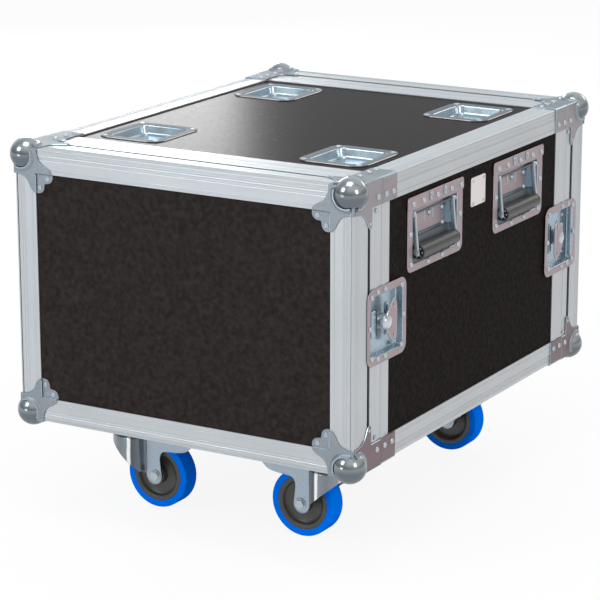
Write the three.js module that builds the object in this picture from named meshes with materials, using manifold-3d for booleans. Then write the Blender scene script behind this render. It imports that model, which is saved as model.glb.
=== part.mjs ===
// A rack flight case on four swivel castors, with a lift-off lid at each end.
// Plywood panels are held in aluminium extrusions, with ball corners, braces, recessed
// sprung handles, recessed butterfly latches, rack rails inside and castor dishes on top.
// Millimetres. X runs across the front, Y from front to back, Z up from the floor.

import * as THREE from 'three';
import { mergeVertices } from 'three/addons/utils/BufferGeometryUtils.js';
import Module from 'manifold-3d';

const wasm = await Module();
wasm.setup();

// The case over its aluminium
const caseWidth = 540;
const caseDepth = 716;
const caseHeight = 395;
const skin = 1.8;
const plyThickness = 9;
const arrisRadius = 4;
const seatGap = 0.3;
const cutOverrun = 5;

// Lids, counted from the end faces
const frontLidDepth = 75;
const rearLidDepth = 62;
const edgingFaceWidth = 35;
const edgingSideWidth = 37.5;
const rimSetback = 44;
const rimReach = 97.5;
const grooveDepth = 7;
const tongueReach = 6;
const tongueWidth = 4;
const rimInnerLeg = 13;

// Long edges of the body and the braces at their ends
const edgeTopWidth = 37.5;
const edgeSideWidth = 35.3;
const bracePastParting = 40;
const plateThickness = 1.2;

// Ball corners: three plates and a ball
const ballRadius = 21.5;
const ballInset = 10;
const plateNearWidth = 38;
const earShoulder = 34;
const earReach = 62;
const earLobeRadius = 8.3;
const earLobeFar = 54;
const earLobeNear = 40.5;
const earNotch = 49.2;
const earHollowNear = 39;
const earHollowFar = 26;
const seamTongueEdge = 46.5;
const seamTongueStart = 37.4;
const seamTongueReach = 63;
const seamHollowAlong = 30;
const seamHollowAcross = 40;

// Rack rails, counted from the case's sides; one rail is a whole number of rack units
const rackUnitHeight = 44.45;
const rackOpeningFromSide = 45;
const rackHoleSpacing = 15.875;
const rackHoleFromSide = 37.45;
const rackHoleSize = 9.5;
const railThickness = 2;
const railSideLeg = 28;
const railSetback = 2.5;

// Castor board and castors
const boardThickness = 18;
const boardSideMargin = 40;
const boardEndMargin = 82;
const castorHeight = 128;
const swivelFromSide = 107;
const swivelFromEnd = 136;
const trail = 41.5;
const topPlateLength = 105;
const topPlateWidth = 85;
const topPlateThickness = 3;
const raceRadius = 31;
const upperRaceDepth = 8;
const lowerRaceDepth = 8.4;
const kingPinRadius = 6;
const kingPinClearance = 0.4;
const kingNutRadius = 9;
const kingNutDepth = 4;
const wheelRadius = 50;
const wheelSides = 20;
const tyreHalfWidth = 14.5;
const tyreShoulder = 3.3;
const rimRadius = 37.5;
const webHalfWidth = 8;
const hubRadius = 12.5;
const hubHalfLength = 17.4;
const axleRadius = 6;
const axleClearance = 0.3;
const axleHeadRadius = 8.5;
const axleHeadDepth = 4;
const forkSheet = 2.6;
const forkSideClearance = 0.5;
const crownRadius = 37;
const crownSheet = 3;
const forkTail = 62;
const forkTailRise = 7;
const forkTailTaper = 8;
const forkSkirtDepth = 20;
const legBackAtSkirt = 16;
const legWaist = 6.5;
const legWaistDepth = 36;
const legFootRadius = 13.5;
const noseEdgeDepth = 4.5;

// Castor dishes in the top panel
const dishWidth = 105;
const dishLength = 117;
const dishCornerRadius = 20;
const dishCupWidth = 76;
const dishCupLength = 88;
const dishCupRadius = 9;
const dishCupDepth = 14;
const dishFromEnd = 177.5;
const dishSheet = 1.2;

// Recessed sprung handles
const handleHeight = 103.5;
const handleCornerRadius = 10;
const handleCupFromEnd = 15.5;
const handleCupHeight = 73;
const handleCupRadius = 3;
const handleCupDrop = 4;
const handleCupDepth = 13;
const handleSheet = 1.2;
const handleUnderEdge = 9.45;
const frontLatchToHandle = 5.8;
const rearLatchToHandle = 12.3;
const betweenHandles = 97.5;
const hingeRodRadius = 3;
const hingeRodInset = 6;
const hingeRodDepth = 5;
const armFromCupEnd = 12;
const armThickness = 3.5;
const armWidth = 7;
const gripRadius = 10.3;
const gripDrop = 53;
const gripOutset = 0.7;

// Recessed butterfly latches, counted from the parting line of the lid
const latchHeight = 106;
const latchLidReach = 40;
const latchBodyReach = 68.7;
const latchCornerRadius = 13;
const latchCupHeight = 83;
const latchCupLidReach = 30.5;
const latchCupBodyReach = 59;
const latchCupRadius = 4;
const latchCupDepth = 9.5;
const latchSheet = 1.2;
const latchBelowMiddle = 2.5;
const bossFromParting = 15.7;
const bossRadius = 11.5;
const bossProud = 4.8;
const wingThickness = 2;
const wingProud = 3.8;
const wingHalfHeight = 30.5;
const wingFar = 23.3;
const wingNear = 7;
const wingTipShare = 0.35;
const wingHoleRadius = 2.4;
const wingHoleAcross = 14;
const wingHoleAlong = 20.7;

const halfWidth = caseWidth / 2;
const halfDepth = caseDepth / 2;
const halfHeight = caseHeight / 2;
const plyFace = skin + seatGap;
const plyBack = plyFace + plyThickness;
const rimInnerFace = plyBack + seatGap;
const rimDepth = rimInnerFace + skin;
const caseLift = boardThickness + castorHeight;
const rackUnits = Math.floor((caseHeight - 2 * rimDepth) / rackUnitHeight);
const rackHoleAcross = halfWidth - rackHoleFromSide;
const swivelAcross = halfWidth - swivelFromSide;
const swivelAlong = halfDepth - swivelFromEnd;
const dishAlong = halfDepth - dishFromEnd;
const latchCentreHeight = halfHeight - latchBelowMiddle;
const frontHandleStart = frontLidDepth + latchBodyReach + frontLatchToHandle;
const rearHandleStart = rearLidDepth + latchBodyReach + rearLatchToHandle;
const handleLength = (caseDepth - frontHandleStart - rearHandleStart - betweenHandles) / 2;
const handleCupLength = handleLength - 2 * handleCupFromEnd;
const armSpacing = handleCupLength - 2 * armFromCupEnd;
const frontHandleAlong = frontHandleStart + handleLength / 2 - halfDepth;
const rearHandleAlong = halfDepth - rearHandleStart - handleLength / 2;
const handleCentreHeight = caseHeight - edgeSideWidth - handleUnderEdge - handleHeight / 2;
const axleHeight = wheelRadius * Math.cos(Math.PI / wheelSides);
const ends = {
  front: { sign: -1, lidDepth: frontLidDepth },
  rear: { sign: 1, lidDepth: rearLidDepth },
};
const sides = { left: -1, right: 1 };
const levels = { bottom: -1, top: 1 };

// Finishes
const finishes = {
  aluminium: { color: 0xb6bdc3, roughness: 0.38, metalness: 0.85 },
  laminate: { color: 0x2a2625, roughness: 0.55, metalness: 0 },
  plywood: { color: 0x6a5a48, roughness: 0.75, metalness: 0 },
  zinc: { color: 0x8f9499, roughness: 0.35, metalness: 0.8 },
  rail_steel: { color: 0x3a3c3f, roughness: 0.5, metalness: 0.6 },
  castor_steel: { color: 0x9aa3ad, roughness: 0.4, metalness: 0.7 },
  wheel_blue: { color: 0x0a6fe0, roughness: 0.55, metalness: 0 },
  grip_rubber: { color: 0x55585a, roughness: 0.6, metalness: 0 },
};

// A closed mesh as a solid, its doubled vertices merged and its faces turned outwards
function solid(geometry) {
  const bare = geometry.clone();
  bare.deleteAttribute('normal');
  bare.deleteAttribute('uv');
  const merged = mergeVertices(bare);
  const points = merged.getAttribute('position').array;
  const faces = [];
  const index = merged.index.array;
  for (let i = 0; i < index.length; i += 3) {
    const [a, b, c] = [index[i], index[i + 1], index[i + 2]];
    if (a !== b && b !== c && c !== a) faces.push(a, b, c);
  }
  if (signedVolume(points, faces) < 0) faces.reverse();
  const mesh = new wasm.Mesh({
    numProp: 3,
    vertProperties: Float32Array.from(points),
    triVerts: Uint32Array.from(faces),
  });
  return new wasm.Manifold(mesh);
}

function signedVolume(points, faces) {
  const corner = (i) => new THREE.Vector3().fromArray(points, 3 * i);
  let volume = 0;
  for (let i = 0; i < faces.length; i += 3) {
    const [a, b, c] = [corner(faces[i]), corner(faces[i + 1]), corner(faces[i + 2])];
    volume += a.dot(b.cross(c)) / 6;
  }
  return volume;
}

// A solid's surface as geometry, mirrored where a factor is -1
function surface(body, mirrorX = 1, mirrorY = 1, mirrorZ = 1) {
  const mesh = body.getMesh();
  const points = Float32Array.from(mesh.vertProperties);
  for (let i = 0; i < points.length; i += 3) {
    points[i] *= mirrorX;
    points[i + 1] *= mirrorY;
    points[i + 2] *= mirrorZ;
  }
  const faces = Array.from(mesh.triVerts);
  if (mirrorX * mirrorY * mirrorZ < 0) faces.reverse();
  const geometry = new THREE.BufferGeometry();
  geometry.setAttribute('position', new THREE.BufferAttribute(points, 3));
  geometry.setIndex(faces);
  geometry.computeVertexNormals();
  return geometry;
}

function piece(name, finish, geometry) {
  const mesh = new THREE.Mesh(geometry, new THREE.MeshStandardMaterial(finishes[finish]));
  mesh.name = name;
  return mesh;
}

function block(x, y, z) {
  const geometry = new THREE.BoxGeometry(x[1] - x[0], y[1] - y[0], z[1] - z[0]);
  return geometry.translate((x[0] + x[1]) / 2, (y[0] + y[1]) / 2, (z[0] + z[1]) / 2);
}

// An outline carried along an axis: it lies in XY for z, in XZ for y and in YZ for x
function prism(shape, axis, from, to, curveSegments = 2) {
  const geometry = new THREE.ExtrudeGeometry(shape, {
    depth: to - from,
    bevelEnabled: false,
    curveSegments,
  });
  if (axis === 'z') return geometry.translate(0, 0, from);
  if (axis === 'y') return geometry.rotateX(Math.PI / 2).translate(0, to, 0);
  const turn = new THREE.Matrix4().makeBasis(
    new THREE.Vector3(0, 1, 0),
    new THREE.Vector3(0, 0, 1),
    new THREE.Vector3(1, 0, 0),
  );
  return geometry.applyMatrix4(turn).translate(from, 0, 0);
}

function rod(radius, axis, from, to, sidesRound) {
  const geometry = new THREE.CylinderGeometry(radius, radius, to - from, sidesRound);
  if (axis === 'x') geometry.rotateZ(Math.PI / 2);
  if (axis === 'z') geometry.rotateX(Math.PI / 2);
  const middle = (from + to) / 2;
  const shift = { x: [middle, 0, 0], y: [0, middle, 0], z: [0, 0, middle] }[axis];
  return geometry.translate(...shift);
}

// A rectangle with rounded corners, from its low corner to its high corner
function roundedRectangle([left, low], [right, high], radius) {
  const shape = new THREE.Shape();
  shape.absarc(right - radius, low + radius, radius, -Math.PI / 2, 0);
  shape.absarc(right - radius, high - radius, radius, 0, Math.PI / 2);
  shape.absarc(left + radius, high - radius, radius, Math.PI / 2, Math.PI);
  shape.absarc(left + radius, low + radius, radius, Math.PI, 3 * Math.PI / 2);
  return shape;
}

// A section carried round the case's outline with mitred corners. Each point of the section
// is given as the depth below the outer faces and the distance from the end face.
function mitredRing(section) {
  const closed = [...section, section[0]];
  const reach = (depth) => (halfHeight - depth) * Math.SQRT2;
  const points = closed.map(([depth, along]) => new THREE.Vector2(reach(depth), along));
  const geometry = new THREE.LatheGeometry(points, 4, Math.PI / 4);
  const position = geometry.getAttribute('position');
  const spread = halfWidth - halfHeight;
  for (let i = 0; i < position.count; i += 1) {
    const x = position.getX(i);
    position.setX(i, x + Math.sign(x) * spread);
  }
  return geometry.translate(0, 0, halfHeight);
}

// Long edges: an L section with a rounded arris, and the brace plates riveted on its ends
function longEdge() {
  const section = new THREE.Shape();
  section.moveTo(-edgeTopWidth, 0);
  section.lineTo(-arrisRadius, 0);
  section.absarc(-arrisRadius, -arrisRadius, arrisRadius, Math.PI / 2, 0, true);
  section.lineTo(0, -edgeSideWidth);
  section.lineTo(-skin, -edgeSideWidth);
  section.lineTo(-skin, -skin);
  section.lineTo(-edgeTopWidth, -skin);
  const from = -halfDepth + rimReach + seatGap;
  const to = halfDepth - rimReach - seatGap;
  let body = solid(prism(section, 'y', from, to));
  for (const { sign, lidDepth } of Object.values(ends)) {
    const near = sign * (halfDepth - lidDepth - seatGap);
    const far = sign * (halfDepth - lidDepth - bracePastParting);
    const edgeStart = sign * (halfDepth - rimReach - seatGap);
    body = body.add(solid(braceAngle(near, far, seatGap)));
    body = body.add(solid(braceAngle(edgeStart, far, -skin / 2)));
  }
  return body;
}

// The brace's L, standing clear of the outer faces by the gap given
function braceAngle(near, far, gap) {
  const proud = seatGap + plateThickness;
  const section = new THREE.Shape();
  section.moveTo(-edgeTopWidth, gap);
  section.lineTo(gap, gap);
  section.lineTo(gap, -edgeSideWidth);
  section.lineTo(proud, -edgeSideWidth);
  section.lineTo(proud, proud);
  section.lineTo(-edgeTopWidth, proud);
  return prism(section, 'y', Math.min(near, far), Math.max(near, far));
}

// Lid edging: an angle round the end face and the sides
function lidEdging() {
  return mitredRing([
    [0, arrisRadius],
    [arrisRadius / 4, arrisRadius / 4],
    [arrisRadius, 0],
    [edgingFaceWidth, 0],
    [edgingFaceWidth, skin],
    [skin, skin],
    [skin, edgingSideWidth],
    [0, edgingSideWidth],
  ]);
}

// Lid rim: an H section that takes the ply on one side and the body's tongue on the other
function lidRim(lidDepth) {
  const web = lidDepth - grooveDepth;
  const innerStart = web - rimInnerLeg;
  return mitredRing([
    [0, rimSetback],
    [skin, rimSetback],
    [skin, web - skin],
    [rimInnerFace, web - skin],
    [rimInnerFace, innerStart],
    [rimDepth, innerStart],
    [rimDepth, lidDepth],
    [rimInnerFace, lidDepth],
    [rimInnerFace, web],
    [skin, web],
    [skin, lidDepth],
    [0, lidDepth],
  ]);
}

// Body rim: a channel over the ply with a tongue that enters the lid's groove
function bodyRim(lidDepth) {
  const face = lidDepth + seatGap;
  const web = face + skin;
  const tongueMiddle = (skin + rimInnerFace) / 2;
  const tongueLow = tongueMiddle - tongueWidth / 2;
  const tongueHigh = tongueMiddle + tongueWidth / 2;
  return mitredRing([
    [0, face],
    [tongueLow, face],
    [tongueLow, face - tongueReach],
    [tongueHigh, face - tongueReach],
    [tongueHigh, face],
    [rimDepth, face],
    [rimDepth, face + rimInnerLeg],
    [rimInnerFace, face + rimInnerLeg],
    [rimInnerFace, web],
    [skin, web],
    [skin, rimReach],
    [0, rimReach],
  ]);
}

// Lid shell: the end board and its four side boards, glued into a tray
function lidShell(lidDepth) {
  const mouth = lidDepth - grooveDepth - skin - seatGap;
  const tray = solid(block(
    [-halfWidth + plyFace, halfWidth - plyFace],
    [plyFace, mouth],
    [plyFace, caseHeight - plyFace],
  ));
  const hollow = solid(block(
    [-halfWidth + plyBack, halfWidth - plyBack],
    [plyBack, mouth + cutOverrun],
    [plyBack, caseHeight - plyBack],
  ));
  return tray.subtract(hollow);
}

// The space that a latch cup takes out of the walls, at the right side and from the end face
function latchPocket(lidDepth) {
  const grow = latchSheet + seatGap;
  const middle = latchCentreHeight;
  const shape = roundedRectangle(
    [lidDepth - latchCupLidReach - grow, middle - latchCupHeight / 2 - grow],
    [lidDepth + latchCupBodyReach + grow, middle + latchCupHeight / 2 + grow],
    latchCupRadius + grow,
  );
  const floor = latchCupDepth + grow;
  return prism(shape, 'x', halfWidth - floor, halfWidth + cutOverrun);
}

// Cuts both latch pockets out of a ring, tray or edging that is measured from the end face
function withLatchPockets(body, lidDepth) {
  const pocket = solid(latchPocket(lidDepth));
  return body.subtract(pocket).subtract(solid(surface(pocket, -1)));
}

// One half of a latch dish: its flange and the half of the cup on that side of the parting
// line. The parting line is at zero, X points out of the side and Y runs into the body.
function latchHalf(onBody) {
  const start = onBody ? seatGap : -latchLidReach;
  const end = onBody ? latchBodyReach : 0;
  const middle = latchCentreHeight;
  const flangeShape = roundedRectangle(
    [-latchLidReach, middle - latchHeight / 2],
    [latchBodyReach, middle + latchHeight / 2],
    latchCornerRadius,
  );
  const cupShape = (grow) => roundedRectangle(
    [-latchCupLidReach - grow, middle - latchCupHeight / 2 - grow],
    [latchCupBodyReach + grow, middle + latchCupHeight / 2 + grow],
    latchCupRadius + grow,
  );
  const flangeTop = seatGap + latchSheet;
  const flange = solid(prism(flangeShape, 'x', seatGap, flangeTop));
  const cup = solid(prism(cupShape(latchSheet), 'x', -latchCupDepth - latchSheet, flangeTop));
  const hollow = solid(prism(cupShape(0), 'x', -latchCupDepth, flangeTop + cutOverrun));
  const half = solid(block(
    [-caseWidth, caseWidth],
    [start, end],
    [0, caseHeight],
  ));
  return flange.add(cup).subtract(hollow).intersect(half);
}

// The lid rim with the two latch keepers riveted on it
function lidRimWithKeepers(lidDepth) {
  const rim = withLatchPockets(solid(lidRim(lidDepth)), lidDepth);
  const keeper = solid(surface(latchHalf(false)).translate(halfWidth, lidDepth, 0));
  const seat = solid(block(
    [halfWidth - skin / 2, halfWidth + seatGap + latchSheet / 2],
    [rimSetback, lidDepth],
    [latchCentreHeight - latchHeight / 2, latchCentreHeight + latchHeight / 2],
  ));
  const cutter = solid(latchPocket(lidDepth));
  const fixed = keeper.add(seat.subtract(cutter));
  return rim.add(fixed).add(solid(surface(fixed, -1)));
}

// The butterfly: a boss that turns on the cup's floor, with a flat half-moon wing
function butterfly() {
  const boss = solid(rod(bossRadius, 'x', -latchCupDepth + seatGap, bossProud, 12));
  const shape = new THREE.Shape();
  const tip = wingFar * wingTipShare;
  shape.moveTo(tip, -wingHalfHeight);
  shape.quadraticCurveTo(wingFar, -wingHalfHeight, wingFar, -wingHalfHeight / 2);
  shape.lineTo(wingFar, wingHalfHeight / 2);
  shape.quadraticCurveTo(wingFar, wingHalfHeight, tip, wingHalfHeight);
  shape.quadraticCurveTo(-wingNear, wingHalfHeight / 2, -wingNear, 0);
  shape.quadraticCurveTo(-wingNear, -wingHalfHeight / 2, tip, -wingHalfHeight);
  let body = boss.add(solid(prism(shape, 'x', wingProud - wingThickness, wingProud)));
  for (const level of Object.values(levels)) {
    const hole = rod(wingHoleRadius, 'x', 0, wingProud + cutOverrun, 8);
    body = body.subtract(solid(hole.translate(0, wingHoleAcross, level * wingHoleAlong)));
  }
  return body;
}

// A pressed dish with a flat flange and a straight cup, opening along Z. The flange rests
// at zero, less the gap, and the cup's centre may lie off the flange's.
function pressedDish(flange, cup, sheet) {
  const around = ({ width, length, radius, offset = 0 }, grow) => roundedRectangle(
    [-width / 2 - grow, -length / 2 - grow + offset],
    [width / 2 + grow, length / 2 + grow + offset],
    radius + grow,
  );
  const top = seatGap + sheet;
  const plate = solid(prism(around(flange, 0), 'z', seatGap, top));
  const bowl = solid(prism(around(cup, sheet), 'z', top - cup.depth - sheet, top));
  const hollow = solid(prism(around(cup, 0), 'z', top - cup.depth, top + cutOverrun));
  return plate.add(bowl).subtract(hollow);
}

// The hole that a dish needs in the board it is let into
function dishHole(cup, sheet) {
  const grow = sheet + seatGap;
  const offset = cup.offset ?? 0;
  const shape = roundedRectangle(
    [-cup.width / 2 - grow, -cup.length / 2 - grow + offset],
    [cup.width / 2 + grow, cup.length / 2 + grow + offset],
    cup.radius + grow,
  );
  return prism(shape, 'z', -plyThickness - cutOverrun, cutOverrun);
}

const castorCup = {
  width: dishCupWidth,
  length: dishCupLength,
  radius: dishCupRadius,
  depth: dishCupDepth,
};
const handleCup = {
  width: handleCupLength,
  length: handleCupHeight,
  radius: handleCupRadius,
  depth: handleCupDepth,
  offset: -handleCupDrop,
};

// Castor dish: a plain drawn cup that a wheel of a case on top stands in
function castorDish() {
  const flange = { width: dishWidth, length: dishLength, radius: dishCornerRadius };
  return pressedDish(flange, castorCup, dishSheet);
}

// Turns a piece made with its opening along Z so that it faces +X, with its Y upwards
function facingSide(geometry) {
  const turn = new THREE.Matrix4().makeBasis(
    new THREE.Vector3(0, 1, 0),
    new THREE.Vector3(0, 0, 1),
    new THREE.Vector3(1, 0, 0),
  );
  return geometry.applyMatrix4(turn);
}

function handleDish() {
  const flange = { width: handleLength, length: handleHeight, radius: handleCornerRadius };
  return facingSide(surface(pressedDish(flange, handleCup, handleSheet)));
}

// The bail hangs from its hinge rod, which is at the origin here, and carries the grip
function handleBail() {
  const rodHalf = handleCupLength / 2 - seatGap;
  const armHalf = armSpacing / 2;
  const gripOut = hingeRodDepth + gripOutset;
  let body = solid(rod(hingeRodRadius, 'y', -rodHalf, rodHalf, 8));
  const grip = rod(gripRadius, 'y', -armHalf, armHalf, 14);
  body = body.add(solid(grip.translate(gripOut, 0, -gripDrop)));
  const length = Math.hypot(gripOut, gripDrop);
  for (const side of Object.values(sides)) {
    const y = [side * armHalf - armThickness / 2, side * armHalf + armThickness / 2];
    const arm = block([-armWidth / 2, armWidth / 2], y, [-length - armWidth / 2, armWidth / 2]);
    body = body.add(solid(arm.rotateY(-Math.atan2(gripOut, gripDrop))));
  }
  return body;
}

// Side panel, with its latch pockets and handle holes, at the right side
function sidePanel() {
  const start = -halfDepth + frontLidDepth + seatGap + skin + seatGap;
  const end = halfDepth - rearLidDepth - seatGap - skin - seatGap;
  let body = solid(block(
    [halfWidth - plyBack, halfWidth - plyFace],
    [start, end],
    [plyFace, caseHeight - plyFace],
  ));
  const front = latchPocket(frontLidDepth).translate(0, -halfDepth, 0);
  const rear = surface(solid(latchPocket(rearLidDepth)), 1, -1).translate(0, halfDepth, 0);
  body = body.subtract(solid(front)).subtract(solid(rear));
  for (const along of [frontHandleAlong, rearHandleAlong]) {
    const hole = facingSide(dishHole(handleCup, handleSheet));
    hole.translate(halfWidth - plyFace, along, handleCentreHeight);
    body = body.subtract(solid(hole));
  }
  return body;
}

function flatPanel() {
  const start = -halfDepth + frontLidDepth + seatGap + skin + seatGap;
  const end = halfDepth - rearLidDepth - seatGap - skin - seatGap;
  const reach = halfWidth - plyBack - seatGap;
  return block([-reach, reach], [start, end], [-plyThickness, 0]);
}

function topPanel() {
  let body = solid(flatPanel());
  for (const end of Object.values(ends)) {
    for (const side of Object.values(sides)) {
      const hole = dishHole(castorCup, dishSheet);
      hole.translate(side * swivelAcross, end.sign * dishAlong, 0);
      body = body.subtract(solid(hole));
    }
  }
  return body;
}

// Bottom panel, with the castor board glued and screwed under it
function bottomPanel() {
  const inPanel = plyThickness / 2;
  const boardHalf = halfWidth - boardSideMargin;
  const betweenRims = halfDepth - rimReach - seatGap;
  const boardLength = halfDepth - boardEndMargin;
  const pad = block([-boardHalf, boardHalf], [-betweenRims, betweenRims],
    [-plyThickness - plyFace - seatGap - seatGap, -plyThickness + inPanel]);
  const board = block([-boardHalf, boardHalf], [-boardLength, boardLength],
    [-plyThickness - plyFace - boardThickness, -plyThickness - plyFace - seatGap]);
  return solid(flatPanel()).add(solid(pad)).add(solid(board));
}

// Rack rail at the front right: a side leg on the panel and a punched face
function rackRail() {
  const length = rackUnitHeight * rackUnits;
  const outer = halfWidth - plyBack - seatGap;
  const start = Math.max(rimReach, frontLidDepth + seatGap + rimInnerLeg) + railSetback;
  const low = halfHeight - length / 2;
  const side = block([outer - railThickness, outer], [start, start + railSideLeg], [low, low + length]);
  const face = block(
    [halfWidth - rackOpeningFromSide, outer],
    [start, start + railThickness],
    [low, low + length],
  );
  let body = solid(side).add(solid(face));
  const hole = rackHoleSize / 2;
  const first = (rackUnitHeight - 2 * rackHoleSpacing) / 2;
  for (let unit = 0; unit < rackUnits; unit += 1) {
    for (let row = 0; row < 3; row += 1) {
      const height = low + unit * rackUnitHeight + first + row * rackHoleSpacing;
      body = body.subtract(solid(block(
        [rackHoleAcross - hole, rackHoleAcross + hole],
        [start - cutOverrun, start + railThickness + cutOverrun],
        [height - hole, height + hole],
      )));
    }
  }
  return body;
}

// End-face plate of a ball corner: two lobes reach over the panel. The corner of the case is
// at zero, and both distances run into the face.
function lobedPlate() {
  const shape = new THREE.Shape();
  shape.moveTo(0, 0);
  shape.lineTo(plateNearWidth, 0);
  shape.quadraticCurveTo(earHollowNear, earHollowFar, earReach, earShoulder);
  shape.absarc(earLobeFar, earLobeNear, earLobeRadius, -Math.PI / 8, 2 * Math.PI / 3);
  shape.lineTo(earNotch, earNotch);
  shape.absarc(earLobeNear, earLobeFar, earLobeRadius, -Math.PI / 6, 5 * Math.PI / 8);
  shape.lineTo(earShoulder, earReach);
  shape.quadraticCurveTo(earHollowFar, earHollowNear, 0, plateNearWidth);
  return shape;
}

// Side and top plates of a ball corner: they run to the parting line, with a tongue down
// the lid's edge. The first distance runs along the case, the second across the face.
function seamPlate(lidDepth, width) {
  const shape = new THREE.Shape();
  shape.moveTo(0, 0);
  shape.lineTo(lidDepth, 0);
  shape.lineTo(lidDepth, width);
  shape.lineTo(seamTongueEdge, width);
  shape.lineTo(seamTongueEdge, seamTongueReach);
  shape.lineTo(seamTongueStart, seamTongueReach);
  shape.quadraticCurveTo(seamHollowAlong, seamHollowAcross, 0, plateNearWidth);
  return shape;
}

// Ball corner of the front lid at the top right, with the case's corner at the origin
function ballCorner(lidDepth) {
  const low = seatGap;
  const high = seatGap + plateThickness;
  const ball = new THREE.SphereGeometry(ballRadius, 12, 8);
  ball.translate(-ballInset, ballInset, -ballInset);
  const caseCorner = block([-caseWidth, low], [-low, caseDepth], [-caseHeight, low]);
  const face = prism(lobedPlate(), 'y', -high, -low);
  face.scale(-1, 1, -1);
  const side = prism(seamPlate(lidDepth, edgeSideWidth), 'x', low, high);
  side.scale(1, 1, -1);
  const top = prism(seamPlate(lidDepth, edgeTopWidth), 'x', low, high);
  top.applyMatrix4(new THREE.Matrix4().makeBasis(
    new THREE.Vector3(0, 0, 1),
    new THREE.Vector3(0, 1, 0),
    new THREE.Vector3(-1, 0, 0),
  ));
  const plates = [face, side, top].map(solid);
  const joints = [
    block([-plateNearWidth, high], [-high, -low], [-low, high]),
    block([low, high], [-high, plateNearWidth], [-plateNearWidth, high]),
    block([-plateNearWidth, high], [-high, lidDepth], [low, high]),
    block([low, high], [-high, lidDepth], [-low, high]),
  ].map(solid);
  const body = [...plates, ...joints].reduce((sum, part) => sum.add(part), solid(ball));
  return body.subtract(solid(caseCorner));
}

// Castor pieces: the swivel axis is at the origin, the wheel trails towards +X and the
// case's underside is at zero.
const plateTop = -boardThickness - seatGap;
const raceTop = plateTop - topPlateThickness;
const raceBottom = raceTop - upperRaceDepth;
const crownTop = raceBottom - seatGap - lowerRaceDepth;
const crownBottom = crownTop - crownSheet;
const axleLevel = axleHeight - caseLift;

function castorPlate() {
  const halfLength = topPlateLength / 2;
  const halfPlate = topPlateWidth / 2;
  const shape = roundedRectangle([-halfLength, -halfPlate], [halfLength, halfPlate], arrisRadius);
  const nutTop = crownBottom - seatGap;
  return solid(prism(shape, 'z', raceTop, plateTop, 2))
    .add(solid(rod(raceRadius, 'z', raceBottom, raceTop + topPlateThickness / 2, 14)))
    .add(solid(rod(kingPinRadius, 'z', nutTop - kingNutDepth, raceTop, 10)))
    .add(solid(rod(kingNutRadius, 'z', nutTop - kingNutDepth, nutTop, 6)));
}

// The fork in plan: a round crown about the swivel axis, running back as a straight channel
function forkPlan(inset, bottom, top) {
  const half = hubHalfLength + forkSideClearance + forkSheet - inset;
  const crown = solid(rod(crownRadius - inset, 'z', bottom, top, 18));
  const back = trail + forkTail + cutOverrun * Math.sign(inset);
  const channel = block([0, back], [-half, half], [bottom, top]);
  return crown.add(solid(channel));
}

// The fork from the side: crown, skirt, two legs with rounded feet and a slanting nose edge
function forkSide() {
  const skirt = crownTop - forkSkirtDepth;
  const tail = trail + forkTail;
  const nose = -crownRadius - seatGap;
  const shape = new THREE.Shape();
  shape.moveTo(nose, crownTop);
  shape.lineTo(nose, crownTop - noseEdgeDepth);
  shape.absarc(trail, axleLevel, legFootRadius, 5 * Math.PI / 4, 2 * Math.PI);
  shape.lineTo(trail + legWaist, crownTop - legWaistDepth);
  shape.quadraticCurveTo(trail + legWaist, skirt, trail + legBackAtSkirt, skirt);
  shape.lineTo(tail - forkTailTaper, skirt);
  shape.lineTo(tail, skirt + forkTailRise);
  shape.lineTo(tail, crownTop);
  return prism(shape, 'y', -crownRadius - cutOverrun, crownRadius + cutOverrun, 3);
}

function castorFork() {
  const below = axleLevel - wheelRadius;
  const shell = forkPlan(0, below, crownTop)
    .subtract(forkPlan(forkSheet, below - cutOverrun, crownBottom));
  const faceOut = hubHalfLength + forkSideClearance + forkSheet;
  const toAxle = (geometry) => solid(geometry.translate(trail, 0, axleLevel));
  return shell.intersect(solid(forkSide()))
    .add(solid(rod(raceRadius - seatGap, 'z', crownTop - crownSheet / 2, raceBottom - seatGap, 14)))
    .add(toAxle(rod(axleRadius, 'y', -faceOut, faceOut, 12)))
    .add(toAxle(rod(axleHeadRadius, 'y', faceOut - forkSheet / 2, faceOut + axleHeadDepth, 12)))
    .add(toAxle(rod(axleHeadRadius, 'y', -faceOut - axleHeadDepth, -faceOut + forkSheet / 2, 6)))
    .subtract(solid(rod(kingPinRadius + kingPinClearance, 'z', crownBottom - cutOverrun,
      raceBottom + cutOverrun, 12)));
}

// Wheel: tyre and centre are moulded together round the bore
function castorWheel() {
  const bore = axleRadius + axleClearance;
  const half = [
    [bore, hubHalfLength],
    [hubRadius, hubHalfLength],
    [hubRadius, webHalfWidth],
    [rimRadius, tyreHalfWidth],
    [wheelRadius - tyreShoulder, tyreHalfWidth],
    [wheelRadius, tyreHalfWidth - tyreShoulder],
  ];
  const mirrored = half.map(([radius, along]) => [radius, -along]);
  const outline = [...mirrored, ...half.reverse(), mirrored[0]];
  const points = outline.map(([radius, along]) => new THREE.Vector2(radius, along));
  return new THREE.LatheGeometry(points, wheelSides, Math.PI / wheelSides);
}

// Assembly
const rackCase = new THREE.Group();
const upper = new THREE.Group();
upper.position.set(0, 0, caseLift);
rackCase.add(upper);

const underTop = caseHeight - plyFace;
const panels = new THREE.Group();
const top = piece('top_panel', 'laminate', surface(topPanel()));
top.position.set(0, 0, underTop);
const bottom = piece('bottom_panel', 'plywood', surface(bottomPanel()));
bottom.position.set(0, 0, plyBack);
panels.add(top, bottom);
for (const [side, sign] of Object.entries(sides)) {
  panels.add(piece(`${side}_panel`, 'laminate', surface(sidePanel(), sign)));
}
upper.add(panels);

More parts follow.
